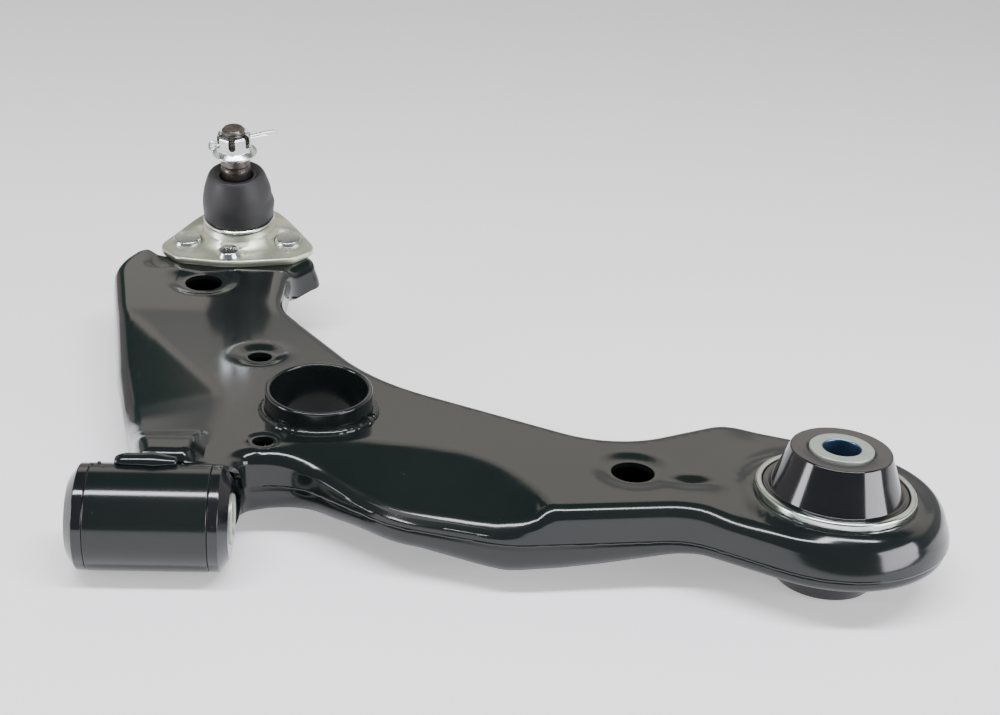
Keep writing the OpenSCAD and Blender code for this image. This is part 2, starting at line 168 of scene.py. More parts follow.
def lathe(corners, steps=96, closed=True):
    # spins a profile in millimetres around Z; an open profile starts and ends on the axis
    bm = bmesh.new()
    verts = [bm.verts.new((p.x, 0, p.y)) for p in roundedProfile(corners, closed)]
    edges = [bm.edges.new(pair) for pair in zip(verts, verts[1:])]
    if closed:
        edges.append(bm.edges.new((verts[-1], verts[0])))
    bmesh.ops.spin(bm, geom=verts + edges, cent=(0, 0, 0), axis=(0, 0, 1), dvec=(0, 0, 0),
                   angle=math.tau, steps=steps, use_merge=True)
    bmesh.ops.remove_doubles(bm, verts=bm.verts, dist=0.001)
    bmesh.ops.recalc_face_normals(bm, faces=bm.faces)
    return bm


def makePiece(name, bm, look, body, nodes=(), place=None, sharp=32, scale=mm):
    # moves a bmesh in millimetres to its place and makes it a piece that rides on a body
    bmesh.ops.scale(bm, vec=(scale, scale, scale), verts=bm.verts)
    if place is not None:
        bmesh.ops.transform(bm, matrix=place, verts=bm.verts)
    mesh = bpy.data.meshes.new(name)
    bm.to_mesh(mesh)
    bm.free()
    for face in mesh.polygons:
        face.use_smooth = True
    mesh.set_sharp_from_angle(angle=math.radians(sharp))
    piece = bpy.data.objects.new(name, mesh)
    bpy.context.scene.collection.objects.link(piece)
    piece.data.materials.append(look)
    if body:
        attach(piece, body)
    if nodes:
        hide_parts(*nodes)
    return piece


def cutWith(piece, cutters):
    # exact booleans, applied at once so that no cutter is left in the scene
    for cutter in cutters:
        step = piece.modifiers.new("cut", "BOOLEAN")
        step.operation = "DIFFERENCE"
        step.solver = "EXACT"
        step.object = cutter
        bpy.context.view_layer.update()
        cutMesh = bpy.data.meshes.new_from_object(
            piece.evaluated_get(bpy.context.evaluated_depsgraph_get()))
        piece.modifiers.clear()
        old = piece.data
        piece.data = cutMesh
        bpy.data.meshes.remove(old)
        bpy.data.objects.remove(cutter)


def barrel(radius, place, depth=140, steps=96):
    # plain round cutter along its place's Z axis
    bm = bmesh.new()
    bmesh.ops.create_cone(bm, cap_ends=True, segments=steps, radius1=radius, radius2=radius,
                          depth=depth)
    return makePiece("cutter", bm, None, None, place=place)


# Shader groups

def newGroup(name, inputs, outputs):
    group = bpy.data.node_groups.new(name, "ShaderNodeTree")
    for label, kind, value in inputs:
        socket = group.interface.new_socket(name=label, in_out="INPUT", socket_type=kind)
        if value is not None:
            socket.default_value = value
    for label, kind in outputs:
        group.interface.new_socket(name=label, in_out="OUTPUT", socket_type=kind)
    start = group.nodes.new("NodeGroupInput")
    end = group.nodes.new("NodeGroupOutput")
    return group, start, end


def noiseNode(tree, vector, scale, detail=3.0, rough=0.5):
    node = tree.nodes.new("ShaderNodeTexNoise")
    node.inputs["Detail"].default_value = detail
    node.inputs["Roughness"].default_value = rough
    if isinstance(scale, (int, float)):
        node.inputs["Scale"].default_value = scale
    else:
        tree.links.new(scale, node.inputs["Scale"])
    tree.links.new(vector, node.inputs["Vector"])
    return node


def rampNode(tree, value, low, high, lowValue=0.0, highValue=1.0):
    node = tree.nodes.new("ShaderNodeMapRange")
    node.interpolation_type = "SMOOTHSTEP"
    tree.links.new(value, node.inputs["Value"])
    for label, amount in (("From Min", low), ("From Max", high), ("To Min", lowValue), ("To Max", highValue)):
        if isinstance(amount, (int, float)):
            node.inputs[label].default_value = amount
        else:
            tree.links.new(amount, node.inputs[label])
    return node.outputs["Result"]


def mixColour(tree, factor, first, second):
    node = tree.nodes.new("ShaderNodeMix")
    node.data_type = "RGBA"
    tree.links.new(factor, node.inputs[0])
    for socket, value in ((node.inputs[6], first), (node.inputs[7], second)):
        if isinstance(value, tuple):
            socket.default_value = value
        else:
            tree.links.new(value, socket)
    return node.outputs[2]


def cloudGroup():
    # soft colour clouds and a second roughness that follow them
    group, start, end = newGroup("cloudyFilm", [
        ("Vector", "NodeSocketVector", None), ("Scale", "NodeSocketFloat", 60.0),
        ("First", "NodeSocketColor", (1, 1, 1, 1)), ("Second", "NodeSocketColor", (0.8, 0.8, 0.8, 1)),
        ("Smooth", "NodeSocketFloat", 0.2), ("Rough", "NodeSocketFloat", 0.35)],
        [("Color", "NodeSocketColor"), ("Roughness", "NodeSocketFloat"), ("Mask", "NodeSocketFloat")])
    wide = noiseNode(group, start.outputs["Vector"], start.outputs["Scale"], 4.0, 0.6)
    mask = rampNode(group, wide.outputs["Fac"], 0.35, 0.68)
    colour = mixColour(group, mask, start.outputs["First"], start.outputs["Second"])
    rough = rampNode(group, wide.outputs["Fac"], 0.3, 0.7, start.outputs["Smooth"], start.outputs["Rough"])
    group.links.new(colour, end.inputs["Color"])
    group.links.new(rough, end.inputs["Roughness"])
    group.links.new(mask, end.inputs["Mask"])
    return group


def specksGroup():
    # sparse dust specks, one here and there
    group, start, end = newGroup("dustSpecks", [
        ("Vector", "NodeSocketVector", None), ("Scale", "NodeSocketFloat", 240.0),
        ("Amount", "NodeSocketFloat", 0.05)], [("Mask", "NodeSocketFloat")])
    cells = group.nodes.new("ShaderNodeTexVoronoi")
    group.links.new(start.outputs["Vector"], cells.inputs["Vector"])
    group.links.new(start.outputs["Scale"], cells.inputs["Scale"])
    dot = rampNode(group, cells.outputs["Distance"], start.outputs["Amount"], 0.0)
    patch = rampNode(group, noiseNode(group, start.outputs["Vector"], 55.0).outputs["Fac"], 0.56, 0.66)
    both = group.nodes.new("ShaderNodeMath")
    both.operation = "MULTIPLY"
    group.links.new(dot, both.inputs[0])
    group.links.new(patch, both.inputs[1])
    group.links.new(both.outputs[0], end.inputs["Mask"])
    return group


def rippleGroup():
    # a normal for paint's orange peel, plating grain or moulded rubber
    group, start, end = newGroup("fineRipple", [
        ("Vector", "NodeSocketVector", None), ("Scale", "NodeSocketFloat", 700.0),
        ("Strength", "NodeSocketFloat", 0.1), ("Depth", "NodeSocketFloat", 0.0001)],
        [("Normal", "NodeSocketVector"), ("Height", "NodeSocketFloat")])
    grain = noiseNode(group, start.outputs["Vector"], start.outputs["Scale"], 2.0)
    relief = group.nodes.new("ShaderNodeBump")
    group.links.new(start.outputs["Strength"], relief.inputs["Strength"])
    group.links.new(start.outputs["Depth"], relief.inputs["Distance"])
    group.links.new(grain.outputs["Fac"], relief.inputs["Height"])
    group.links.new(relief.outputs["Normal"], end.inputs["Normal"])
    group.links.new(grain.outputs["Fac"], end.inputs["Height"])
    return group


cloudyFilm = cloudGroup()
dustSpecks = specksGroup()
fineRipple = rippleGroup()


def makeLook(name, settings):
    # one material: clouds drive colour and roughness, specks lie on top, ripple bends the normal
    look = bpy.data.materials.new(name)
    look.use_nodes = True
    tree = look.node_tree
    shader = tree.nodes["Principled BSDF"]
    shader.inputs["Metallic"].default_value = settings["metallic"]
    shader.inputs["Coat Weight"].default_value = settings.get("coat", 0.0)
    shader.inputs["Coat Roughness"].default_value = settings.get("coatRough", 0.03)
    shader.inputs["IOR"].default_value = settings.get("ior", 1.5)
    place = tree.nodes.new("ShaderNodeTexCoord").outputs["Object"]
    clouds = tree.nodes.new("ShaderNodeGroup")
    clouds.node_tree = cloudyFilm
    tree.links.new(place, clouds.inputs["Vector"])
    for label, key in (("Scale", "cloudScale"), ("Smooth", "smooth"), ("Rough", "rough")):
        clouds.inputs[label].default_value = settings[key]
    clouds.inputs["First"].default_value = (*settings["colour"], 1)
    clouds.inputs["Second"].default_value = (*settings["second"], 1)
    colour = clouds.outputs["Color"]
    if settings.get("specks"):
        specks = tree.nodes.new("ShaderNodeGroup")
        specks.node_tree = dustSpecks
        tree.links.new(place, specks.inputs["Vector"])
        specks.inputs["Amount"].default_value = settings["specks"]
        colour = mixColour(tree, specks.outputs["Mask"], colour, (*settings["speckColour"], 1))
    tree.links.new(colour, shader.inputs["Base Color"])
    tree.links.new(clouds.outputs["Roughness"], shader.inputs["Roughness"])
    ripple = tree.nodes.new("ShaderNodeGroup")
    ripple.node_tree = fineRipple
    tree.links.new(place, ripple.inputs["Vector"])
    for label, key in (("Scale", "rippleScale"), ("Strength", "ripple"), ("Depth", "rippleDepth")):
        ripple.inputs[label].default_value = settings[key]
    tree.links.new(ripple.outputs["Normal"], shader.inputs["Normal"])
    return look


lookSettings = {
    "blackPaint": {
        "metallic": 0.0, "coat": 0.12, "coatRough": 0.10, "colour": (0.006, 0.009, 0.009),
        "second": (0.008, 0.011, 0.010), "smooth": 0.11, "rough": 0.16, "ior": 1.47, "cloudScale": 14,
        "rippleScale": 260, "ripple": 0.04, "rippleDepth": 0.0002, "specks": 0.10,
        "speckColour": (0.10, 0.11, 0.11)},
    "glossPoly": {
        "metallic": 0.0, "coat": 0.25, "colour": (0.006, 0.007, 0.008), "second": (0.009, 0.009, 0.011),
        "smooth": 0.07, "rough": 0.14, "cloudScale": 30, "rippleScale": 420, "ripple": 0.05,
        "rippleDepth": 0.0001, "specks": 0.12, "speckColour": (0.09, 0.10, 0.12)},
    "brightZinc": {
        "metallic": 1.0, "colour": (0.68, 0.71, 0.69), "second": (0.56, 0.60, 0.57),
        "smooth": 0.16, "rough": 0.30, "cloudScale": 130, "rippleScale": 900, "ripple": 0.12,
        "rippleDepth": 0.0001},
    "ringZinc": {
        "metallic": 1.0, "colour": (0.62, 0.66, 0.62), "second": (0.50, 0.58, 0.50),
        "smooth": 0.14, "rough": 0.26, "cloudScale": 80, "rippleScale": 900, "ripple": 0.10,
        "rippleDepth": 0.0001},
    "sleeveZinc": {
        "metallic": 0.75, "colour": (0.50, 0.55, 0.48), "second": (0.42, 0.47, 0.41),
        "smooth": 0.42, "rough": 0.60, "cloudScale": 160, "rippleScale": 1400, "ripple": 0.25,
        "rippleDepth": 0.0002},
    # darker, bluer copy of the sleeve's zinc for the faces inside the bore: painted shade in the hollow
    "boreShadeZinc": {
        "metallic": 0.9, "colour": (0.13, 0.22, 0.36), "second": (0.09, 0.16, 0.27),
        "smooth": 0.25, "rough": 0.40, "cloudScale": 160, "rippleScale": 1400, "ripple": 0.2,
        "rippleDepth": 0.0002},
    "yellowZinc": {
        "metallic": 0.85, "colour": (0.66, 0.67, 0.55), "second": (0.53, 0.56, 0.42),
        "smooth": 0.30, "rough": 0.46, "cloudScale": 70, "rippleScale": 1100, "ripple": 0.25,
        "rippleDepth": 0.0002},
    "bootRubber": {
        "metallic": 0.0, "colour": (0.020, 0.020, 0.021), "second": (0.028, 0.028, 0.029),
        "smooth": 0.44, "rough": 0.58, "cloudScale": 60, "rippleScale": 2200, "ripple": 0.3,
        "rippleDepth": 0.0001, "specks": 0.10, "speckColour": (0.10, 0.10, 0.10)},
    "oiledSteel": {
        "metallic": 0.9, "colour": (0.15, 0.135, 0.115), "second": (0.075, 0.068, 0.06),
        "smooth": 0.22, "rough": 0.42, "cloudScale": 220, "rippleScale": 1300, "ripple": 0.3,
        "rippleDepth": 0.0002},
    "seatNylon": {
        "metallic": 0.0, "colour": (0.72, 0.69, 0.60), "second": (0.66, 0.63, 0.55),
        "smooth": 0.38, "rough": 0.5, "cloudScale": 90, "rippleScale": 1500, "ripple": 0.15,
        "rippleDepth": 0.0001},
}
looks = {name: makeLook(name, settings) for name, settings in lookSettings.items()}
print("looks ready:", len(looks))


# Pressed arm

armSizes = {
    "sheet": 2.6,           # thickness of both pressings
    "top": 18,              # height of the flat top
    "seam": 2,              # lower edge of the upper pressing
    "lap": 5,               # how far the lower pressing reaches up inside it
    "base": -5,             # flat underside
    "roll": 6.4,            # radius of the upper pressing's edge
    "underRoll": 3.4,       # radius of the lower pressing's edge
    "underRise": 4.6,       # how much shallower the arm is under the ball joint
    "draft": 0.9,           # lean of the walls over their height
    "bend": 1.6,            # softness of the bend before the ball joint
    "grid": 3.0,            # mesh pitch on the flat top
    "eyeRadius": 55,        # of the round end that holds the rear bush
    "eyeShift": 7,          # of that round end along Y from the bush
}

tubeEnd = sizeOf("front_tube").x / 2 + 11
studAxis = Vector(joints["ball_spin"]["axis"])
plateDrop = 2.1         # from the ball's centre down to the underside of its plate
seatPoint = Vector((ballX, ballY, ballZ)) - studAxis * plateDrop
bendY = ballY - 42      # where the top bends up towards the plate
eyeCentre = Vector((rearX, armSizes["eyeShift"]))


def eyeTangentCorners(nearNeck, farNeck, centre, radius):
    # the two outline corners whose tangents wrap the eye's circle
    def normalAt(spot, side):
        away = centre - spot
        return math.atan2(away.y, away.x) + side * (math.asin(radius / away.length) + math.pi / 2)

    first = normalAt(nearNeck, -1)
    last = normalAt(farNeck, 1)
    between = (first + last) / 2

    def corner(a, b):
        reach = radius / math.cos((b - a) / 2)
        return centre + reach * Vector((math.cos((a + b) / 2), math.sin((a + b) / 2)))

    return corner(first, between), corner(between, last)


nearNeck = Vector((rearX - 67, -15))
farNeck = Vector((rearX - 35, 77))
eyeA, eyeB = eyeTangentCorners(nearNeck, farNeck, eyeCentre, armSizes["eyeRadius"])
frontTube = {"radius": 23.5, "inner": 20.5, "half": 26, "edge": 0.7}
collarSizes = {"radius": 25.5, "inner": 23, "edge": 1.1}
tubeRadius = frontTube["radius"]
collarPlanX, collarPlanY = 69, 75
armPlan = [                 # x, y, corner radius; anticlockwise seen from above
    (-8, 10, 2), (tubeEnd, 10, 2), (tubeEnd, tubeRadius + 2.5, 5), (tubeEnd + 23, tubeRadius + 6.5, 30),
    (rearX - 197, -7, 50), (rearX - 146, -23, 40), (*nearNeck, 30), (*eyeA, armSizes["eyeRadius"]),
    (*eyeB, armSizes["eyeRadius"]), (*farNeck, 30), (rearX - 93, 49, 45),
    (ballX + 85, collarPlanY + 42, 120), (ballX + 31, ballY - 89, 50), (ballX + 33, ballY - 45, 25),
    (ballX + 57, ballY - 19, 8), (ballX - 58, ballY - 17.5, 12), (ballX - 70, ballY - 43, 48),
    (-36, 135, 120),
]
holes = {                   # x, y, radius, radius of its dish, depth of its dish
    "balljoint": (ballX - 15.5, ballY - 61.5, 10.4, 23, 2.6),
    "middle": (ballX + 24, ballY - 161, 6.2, 16.5, 1.9),
    "collar": (collarPlanX - 24, collarPlanY - 33, 5.0, 8.5, 0.8),
    "neck": (rearX - 88, 20, 10.0, 20, 1.3),
}


# gentle rise of the top towards the ball joint, with a recess in it for the plate
shoulders = {"start": 206, "slope": 0.088, "soft": 9, "recess": 11, "plateHalf": 42, "plateBack": 37}


def softRamp(value, soft):
    # zero below, the value itself above, with a round bend between
    if value < -soft:
        return 0
    return value if value > soft else (value + soft) ** 2 / (4 * soft)


def seatRise(x, y):
    # flat up to a soft bend, then parallel to the ball joint's plate
    plane = seatPoint.z - (studAxis.x * (x - seatPoint.x) + studAxis.y * (y - seatPoint.y)) / studAxis.z
    return softRamp(plane - armSizes["top"], armSizes["bend"])


def riseAt(x, y):
    # the top swells gently towards its far end, and the plate lies in a recess in it
    seat = seatRise(x, y)
    swell = shoulders["slope"] * softRamp(y - shoulders["start"], shoulders["soft"])
    across = max(abs(x - ballX) - shoulders["plateHalf"], 0)
    inward = max(ballY - shoulders["plateBack"] - y, 0)
    away = math.hypot(across, inward)
    share = smoothStep(2, shoulders["recess"], away)
    return seat + max(swell - seat, 0) * share


def dishDepth(x, y):
    total = 0
    for hx, hy, radius, outer, depth in holes.values():
        away = math.hypot(x - hx, y - hy)
        total -= depth * (1 - smoothStep(radius + 1.0, outer, away))
    return total


pocket = {                  # long dish along the inboard side, as (x, y) and (x, drop) pairs
    "edge": [(20, 27), (36, 31), (62, 41), (90, 43.5), (118, 39.5), (137, 34), (148, 26), (156, 17),
             (163, 5), (169, -8), (174, -22), (178, -40)],
    "nearDrop": [(30, 0.8), (48, 1.7), (59, 3.0), (75, 6.0), (90, 8.2), (105, 9.4), (122, 9.4), (137, 9.0),
                 (148, 8.2), (157, 6.6), (165, 4.4), (173, 2.0), (182, 0.4)],
    "bank": 5}              # width of the bend along the upper edge


def alongPoints(points, value):
    # height of a line through points at a place along it
    if value <= points[0][0]:
        return points[0][1]
    for (x0, y0), (x1, y1) in zip(points, points[1:]):
        if value <= x1:
            t = (value - x0) / (x1 - x0)
            return y0 + (y1 - y0) * t
    return points[-1][1]


# rough place of the inboard wall in plan
wallLine = [(37, 26), (60, 27), (80, 12), (104, -5), (130, -16), (155, -21), (234, -16)]


def pocketDepth(x, y):
    # the dish falls evenly from its curved upper edge towards the side wall
    if x < 12 or x > 186 or y > 60:
        return 0
    edgeY = alongPoints(pocket["edge"], x)
    run = max(edgeY - alongPoints(wallLine, x) - armSizes["roll"], 12)
    share = min(softRamp(edgeY - y, pocket["bank"]) / run, 1.15)
    return -alongPoints(pocket["nearDrop"], x) * share * smoothStep(14, 40, x)


facet = {"corner": (13, 106), "far": (-44, 204), "tilt": 0.235, "foot": 92, "soft": 2.5, "most": 10.5}


def facetDepth(x, y):
    # triangular facet that falls towards the forward edge, with a lower plateau at its foot
    cornerX, cornerY = facet["corner"]
    along = (Vector(facet["far"]) - Vector(facet["corner"])).normalized()
    level = facet["foot"] + softRamp(y - facet["foot"], 4)
    beyond = -(x - cornerX) * along.y + (level - cornerY) * along.x
    drop = facet["tilt"] * softRamp(beyond, facet["soft"])
    ease = 1 - 0.75 * smoothStep(80, 40, y)
    return -min(drop, facet["most"]) * ease


def eyeStep(x, y):
    # the land around the rear bush lies a little lower than the neck
    away = math.hypot(x - rearX, y)
    line = 249 + 22 * smoothStep(10, 60, y) - 12 * smoothStep(0, -40, y)
    step = -1.3 * smoothStep(line - 9, line + 9, x) * smoothStep(36, 52, away)
    lip = 0.9 * bump(38, 2.6, away)
    groove = -0.5 * bump(43.5, 1.8, away) * smoothStep(rearX + 12, rearX - 18, x)
    return step + lip + groove


dimple = {"spot": (238, 10), "long": 9, "wide": 4.5, "depth": 1.6}


def neckDimple(x, y):
    # shallow trough that runs from the neck's hole towards the eye
    d = dimple
    return -d["depth"] * bump(d["spot"][0], d["long"], x) * bump(d["spot"][1], d["wide"], y)


saddle = {"left": -14, "right": 14, "rise": 7.9, "back": 54, "front": 24, "side": 3.5}


def saddleRise(x, y):
    # bridge that lifts the sheet over the front tube
    across = smoothStep(saddle["left"] - saddle["side"], saddle["left"], x)
    foot = saddle["right"] + saddle["side"] + 3 * smoothStep(10, 30, y)
    across *= 1 - smoothStep(saddle["right"], foot, x)
    return (saddle["rise"] - facetDepth(x, y)) * across * smoothStep(saddle["back"], saddle["front"], y)


def topOffset(x, y):
    return (dishDepth(x, y) + pocketDepth(x, y) + facetDepth(x, y) + eyeStep(x, y)
            + neckDimple(x, y) + saddleRise(x, y))


horn = {"flare": 3.6, "hook": 1.8}      # how the wall at the far rearward corner turns outward


def pressVerts(verts, low, high):
    # carries a flat pressing to its formed shape; the effect fades out towards its lower edge
    for vert in verts:
        x, y, z = vert.co
        weight = smoothStep(low, high, z)
        vert.co.z = z + riseAt(x, y) + topOffset(x, y) * weight
        flare = smoothStep(50, 66, x) * smoothStep(258, 274, y) * (1 - smoothStep(low + 1, high - 4, z))
        vert.co.x += horn["flare"] * flare
        vert.co.z -= horn["hook"] * flare ** 2
        eyeShare = smoothStep(255, 300, x) * smoothStep(low, high, z)
        away = Vector((x, y)) - eyeCentre
        if away.length > 40:
            pull = 3.0 * eyeShare * smoothStep(40, armSizes["eyeRadius"], away.length)
            vert.co.x -= away.x / away.length * pull
            vert.co.y -= away.y / away.length * pull


def stackedSkin(levels, corners, spacing=4):
    # outline loops at (inset, height) joined by walls, then capped at the last one
    bm = bmesh.new()
    first = roundedOutline(corners, levels[0][0], spacing)
    loop = [bm.verts.new((p.x, p.y, levels[0][1])) for p in first]
    edges = [bm.edges.new((a, b)) for a, b in zip(loop, loop[1:] + loop[:1])]
    for inset, height in levels[1:]:
        made = bmesh.ops.extrude_edge_only(bm, edges=edges)["geom"]
        newVerts = [item for item in made if isinstance(item, bmesh.types.BMVert)]
        edges = [item for item in made if isinstance(item, bmesh.types.BMEdge)
                 and all(vert in newVerts for vert in item.verts)]
        target = roundedOutline(corners, inset, spacing)
        below = {}
        for vert in newVerts:
            for edge in vert.link_edges:
                other = edge.other_vert(vert)
                if other in loop:
                    below[other] = vert
        loop = [below[vert] for vert in loop]
        for vert, spot in zip(loop, target):
            vert.co = (spot.x, spot.y, height)
    cap = bmesh.ops.contextual_create(bm, geom=edges)["faces"]
    return bm, cap


def cutFaces(bm, faces, spot, normal):
    # bisects a few faces and gives them back with the new ones
    parts = set(faces)
    for face in faces:
        parts.update(face.edges)
        parts.update(face.verts)
    made = bmesh.ops.bisect_plane(bm, geom=list(parts), dist=1e-4, plane_co=spot, plane_no=normal)["geom"]
    return {item for item in made if isinstance(item, bmesh.types.BMFace)}


def gridCut(bm, faces, pitch, extra=((), ())):
    # cuts flat faces into a grid, with extra lines where more detail is needed
    flat = set(faces)
    level = faces[0].verts[0].co.z
    for axis in (0, 1):
        normal = (1, 0, 0) if axis == 0 else (0, 1, 0)
        values = [vert.co[axis] for face in flat for vert in face.verts]
        low, high = min(values), max(values)
        lines = [low + i * pitch for i in range(1, math.ceil((high - low) / pitch))]
        for line in sorted(lines + [spot for spot in extra[axis] if low < spot < high]):
            spot = [0, 0, level]
            spot[axis] = line
            near = [face for face in flat if face.is_valid
                    and min(v.co[axis] for v in face.verts) < line < max(v.co[axis] for v in face.verts)]
            made = cutFaces(bm, near, spot, normal)
            flat.difference_update([face for face in near
                                    if max(v.co[axis] for v in face.verts) <= line + 1e-4])
            flat.update(face for face in made if max(v.co[axis] for v in face.verts) > line + 1e-4
                        or axis == 0)
        flat = {face for face in bm.faces if all(abs(v.co.z - level) < 1e-5 for v in face.verts)}


def boreOut(bm, place, radius, steps=64, reach=60):
    # opens a round hole in a skin, along the place's Z axis
    back = place.inverted()
    turn = place.to_3x3()

    def local(face):
        spot = back @ face.calc_center_median()
        return math.hypot(spot.x, spot.y), math.atan2(spot.y, spot.x), spot.z

    chord = radius * math.cos(math.pi / steps)
    ring = set()
    for face in bm.faces:
        away, angle, height = local(face)
        if abs(away - radius) < 7 and abs(height) < reach:
            ring.add(face)
    for i in range(steps):
        angle = math.tau * i / steps
        near = []
        for face in ring:
            away, here, height = local(face)
            apart = abs((here - angle + math.pi) % math.tau - math.pi)
            if apart < math.pi / steps + 4.5 / radius:
                near.append(face)
        outward = turn @ Vector((math.cos(angle), math.sin(angle), 0))
        if near:
            ring |= cutFaces(bm, near, place.translation + outward * chord, outward)
    inside = []
    for face in bm.faces:
        away, angle, height = local(face)
        apart = (angle % (math.tau / steps)) / (math.tau / steps)
        apart = min(apart, 1 - apart) * math.tau / steps
        if away * math.cos(apart) < chord - 1e-3 and abs(height) < reach:
            inside.append(face)
    bmesh.ops.delete(bm, geom=inside, context="FACES")


def rollLevels(inset, low, top, radius, draft, steps=6):
    # wall levels up to the rolled edge, then the roll as a quarter round
    wallTop = top - radius
    levels = [(inset + draft * t, low + (wallTop - low) * t) for t in (0, 0.2, 0.5, 0.8, 1)]
    for i in range(1, steps + 1):
        angle = math.pi / 2 * i / steps
        levels.append((inset + draft + radius * (1 - math.cos(angle)), wallTop + radius * math.sin(angle)))
    return levels


def upperSkin():
    bm, cap = stackedSkin(rollLevels(0, armSizes["seam"], armSizes["top"], armSizes["roll"],
                                     armSizes["draft"]), armPlan)
    fineAcross = [saddle["left"] - 5 + i for i in range(36)]
    fineAlong = [11 + i * 1.5 for i in range(20)]
    gridCut(bm, cap, armSizes["grid"], (fineAcross, fineAlong))
    bmesh.ops.recalc_face_normals(bm, faces=bm.faces)
    topFaces = [face for face in bm.faces if face.normal.z > 0.99]
    if not topFaces:
        bmesh.ops.reverse_faces(bm, faces=bm.faces)
    openShell(bm, armSizes["top"])
    for hx, hy, radius, outer, depth in holes.values():
        boreOut(bm, upright(hx, hy), radius, 48)
    pressVerts(bm.verts, armSizes["seam"], armSizes["top"] - 1)
    openForTube(bm)
    return bm


def upright(x, y, z=0):
    return Matrix.Translation((x, y, z))


def openShell(bm, level):
    # openings that both pressings share: rear ring and collar
    low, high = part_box("rear_bush_ring")
    boreOut(bm, upright(rearX, 0), (high.x - low.x) / mm / 2 + 0.1, 96)
    axis = Vector(mounts["centre_collar_bore"]["axis"])
    foot = Vector(mounts["centre_collar_bore"]["pos_m"]) / mm
    foot = foot + axis * (level - foot.z) / axis.z
    boreOut(bm, upright(foot.x, foot.y), collarSizes["radius"] + 0.2, 72)


def openForTube(bm):
    # the pressings end inside the wall of the front tube
    boreOut(bm, Matrix.Rotation(math.pi / 2, 4, "Y"), frontTube["radius"] - 1.2, 36, frontTube["half"] - 1)
    boreOut(bm, Matrix.Rotation(math.pi / 2, 4, "Y"), frontTube["radius"] + 0.6, 36, 44)


def buildUpperPressing():
    bm = upperSkin()
    bmesh.ops.solidify(bm, geom=bm.faces, thickness=armSizes["sheet"])
    return makePiece("upperPressing", bm, looks["blackPaint"], "arm", ["upper_shell"],
                     sharp=40)


# height of the underside along the inboard side
underLine = [(30, -16.5), (54, -14), (71, -10.5), (88, -8.4), (117, -8.6), (143, -12), (154, -12.8),
             (178, -12), (196, -10.6), (218, -8), (240, -5)]


def lowerSkin():
    # the lower pressing nests inside the upper one and bellies out below it
    inset = armSizes["sheet"] + 0.1
    base = armSizes["base"]
    radius = armSizes["underRoll"]
    levels = [(inset, armSizes["seam"] + armSizes["lap"]), (inset, armSizes["seam"] + 0.2),
              (inset - 1.5, armSizes["seam"] - 1.6), (inset - 1.8, base + radius)]
    for i in range(1, 6):
        angle = math.pi / 2 * i / 5
        levels.append((inset - 1.8 + radius * (1 - math.cos(angle)), base + radius * (1 - math.sin(angle))))
    bm, cap = stackedSkin(levels, armPlan)
    gridCut(bm, cap, armSizes["grid"] * 2)
    bmesh.ops.recalc_face_normals(bm, faces=bm.faces)
    if not [face for face in bm.faces if face.normal.z < -0.99]:
        bmesh.ops.reverse_faces(bm, faces=bm.faces)
    openShell(bm, base)
    for vert in bm.verts:
        x, y, z = vert.co
        weight = min(max((armSizes["seam"] - z) / (armSizes["seam"] - base), 0), 1)
        deeper = (alongPoints(underLine, x) - base) * (1 - smoothStep(12, 66, y))
        shallower = armSizes["underRise"] * smoothStep(bendY - 62, bendY - 6, y)
        vert.co.z = z + riseAt(x, y) + weight * (deeper + shallower)
    openForTube(bm)
    return bm


def buildLowerPressing():
    bm = lowerSkin()
    bmesh.ops.solidify(bm, geom=bm.faces, thickness=armSizes["sheet"])
    return makePiece("lowerPressing", bm, looks["blackPaint"], "arm", ["lower_shell"],
                     sharp=40)


upperPressing = buildUpperPressing()
print("upper pressing:", len(upperPressing.data.polygons))
lowerPressing = buildLowerPressing()
print("lower pressing:", len(lowerPressing.data.polygons))


# Small pieces, each with the sizes that a user would change

def capsuleBead(length, radius, lumps, seed, steps=40):
    # a weld bead lying along X, closed at both ends, with lumps frozen into it
    bm = bmesh.new()
    bmesh.ops.create_uvsphere(bm, u_segments=steps, v_segments=steps, radius=radius)
    bmesh.ops.rotate(bm, verts=bm.verts, matrix=Matrix.Rotation(math.pi / 2, 3, "Y"))
    for vert in bm.verts:
        share = vert.co.x / radius
        vert.co.x = math.sin(share * math.pi / 2) * length / 2
        wave = noise.noise(Vector((vert.co.x * 0.13 + seed, vert.co.y * 0.10, seed)))
        scale = 1 + lumps * wave
        vert.co.y *= scale
        vert.co.z *= scale
    return bm


def wirePiece(name, path, radius, look, body, nodes, place, bend=3, closed=False):
    # round wire along a path of points, made a mesh in its place
    data = bpy.data.curves.new(name, "CURVE")
    data.dimensions = "3D"
    data.bevel_depth = radius
    data.bevel_resolution = bend
    data.use_fill_caps = True
    spline = data.splines.new("POLY")
    spline.points.add(len(path) - 1)
    spline.use_cyclic_u = closed
    for point, spot in zip(spline.points, path):
        point.co = (*spot, 1)
    holder = bpy.data.objects.new(name, data)
    bpy.context.scene.collection.objects.link(holder)
    bm = bmesh.new()
    bm.from_mesh(bpy.data.meshes.new_from_object(holder))
    bpy.data.objects.remove(holder)
    bmesh.ops.remove_doubles(bm, verts=bm.verts, dist=0.001)
    bmesh.ops.recalc_face_normals(bm, faces=bm.faces)
    return makePiece(name, bm, look, body, nodes, place)


def buildFrontTube():
    t = frontTube
    bm = lathe([(t["inner"], -t["half"], 0.3), (t["radius"], -t["half"], t["edge"]),
                (t["radius"], t["half"], t["edge"]), (t["inner"], t["half"], 0.3)], 128)
    makePiece("frontTube", bm, looks["blackPaint"], "arm", ["front_tube"], aftFrame)


seamWeld = {"radius": 1.0, "inset": 1.0, "drop": 0.6, "lumps": 0.5, "start": 46, "end": bendY - 50}


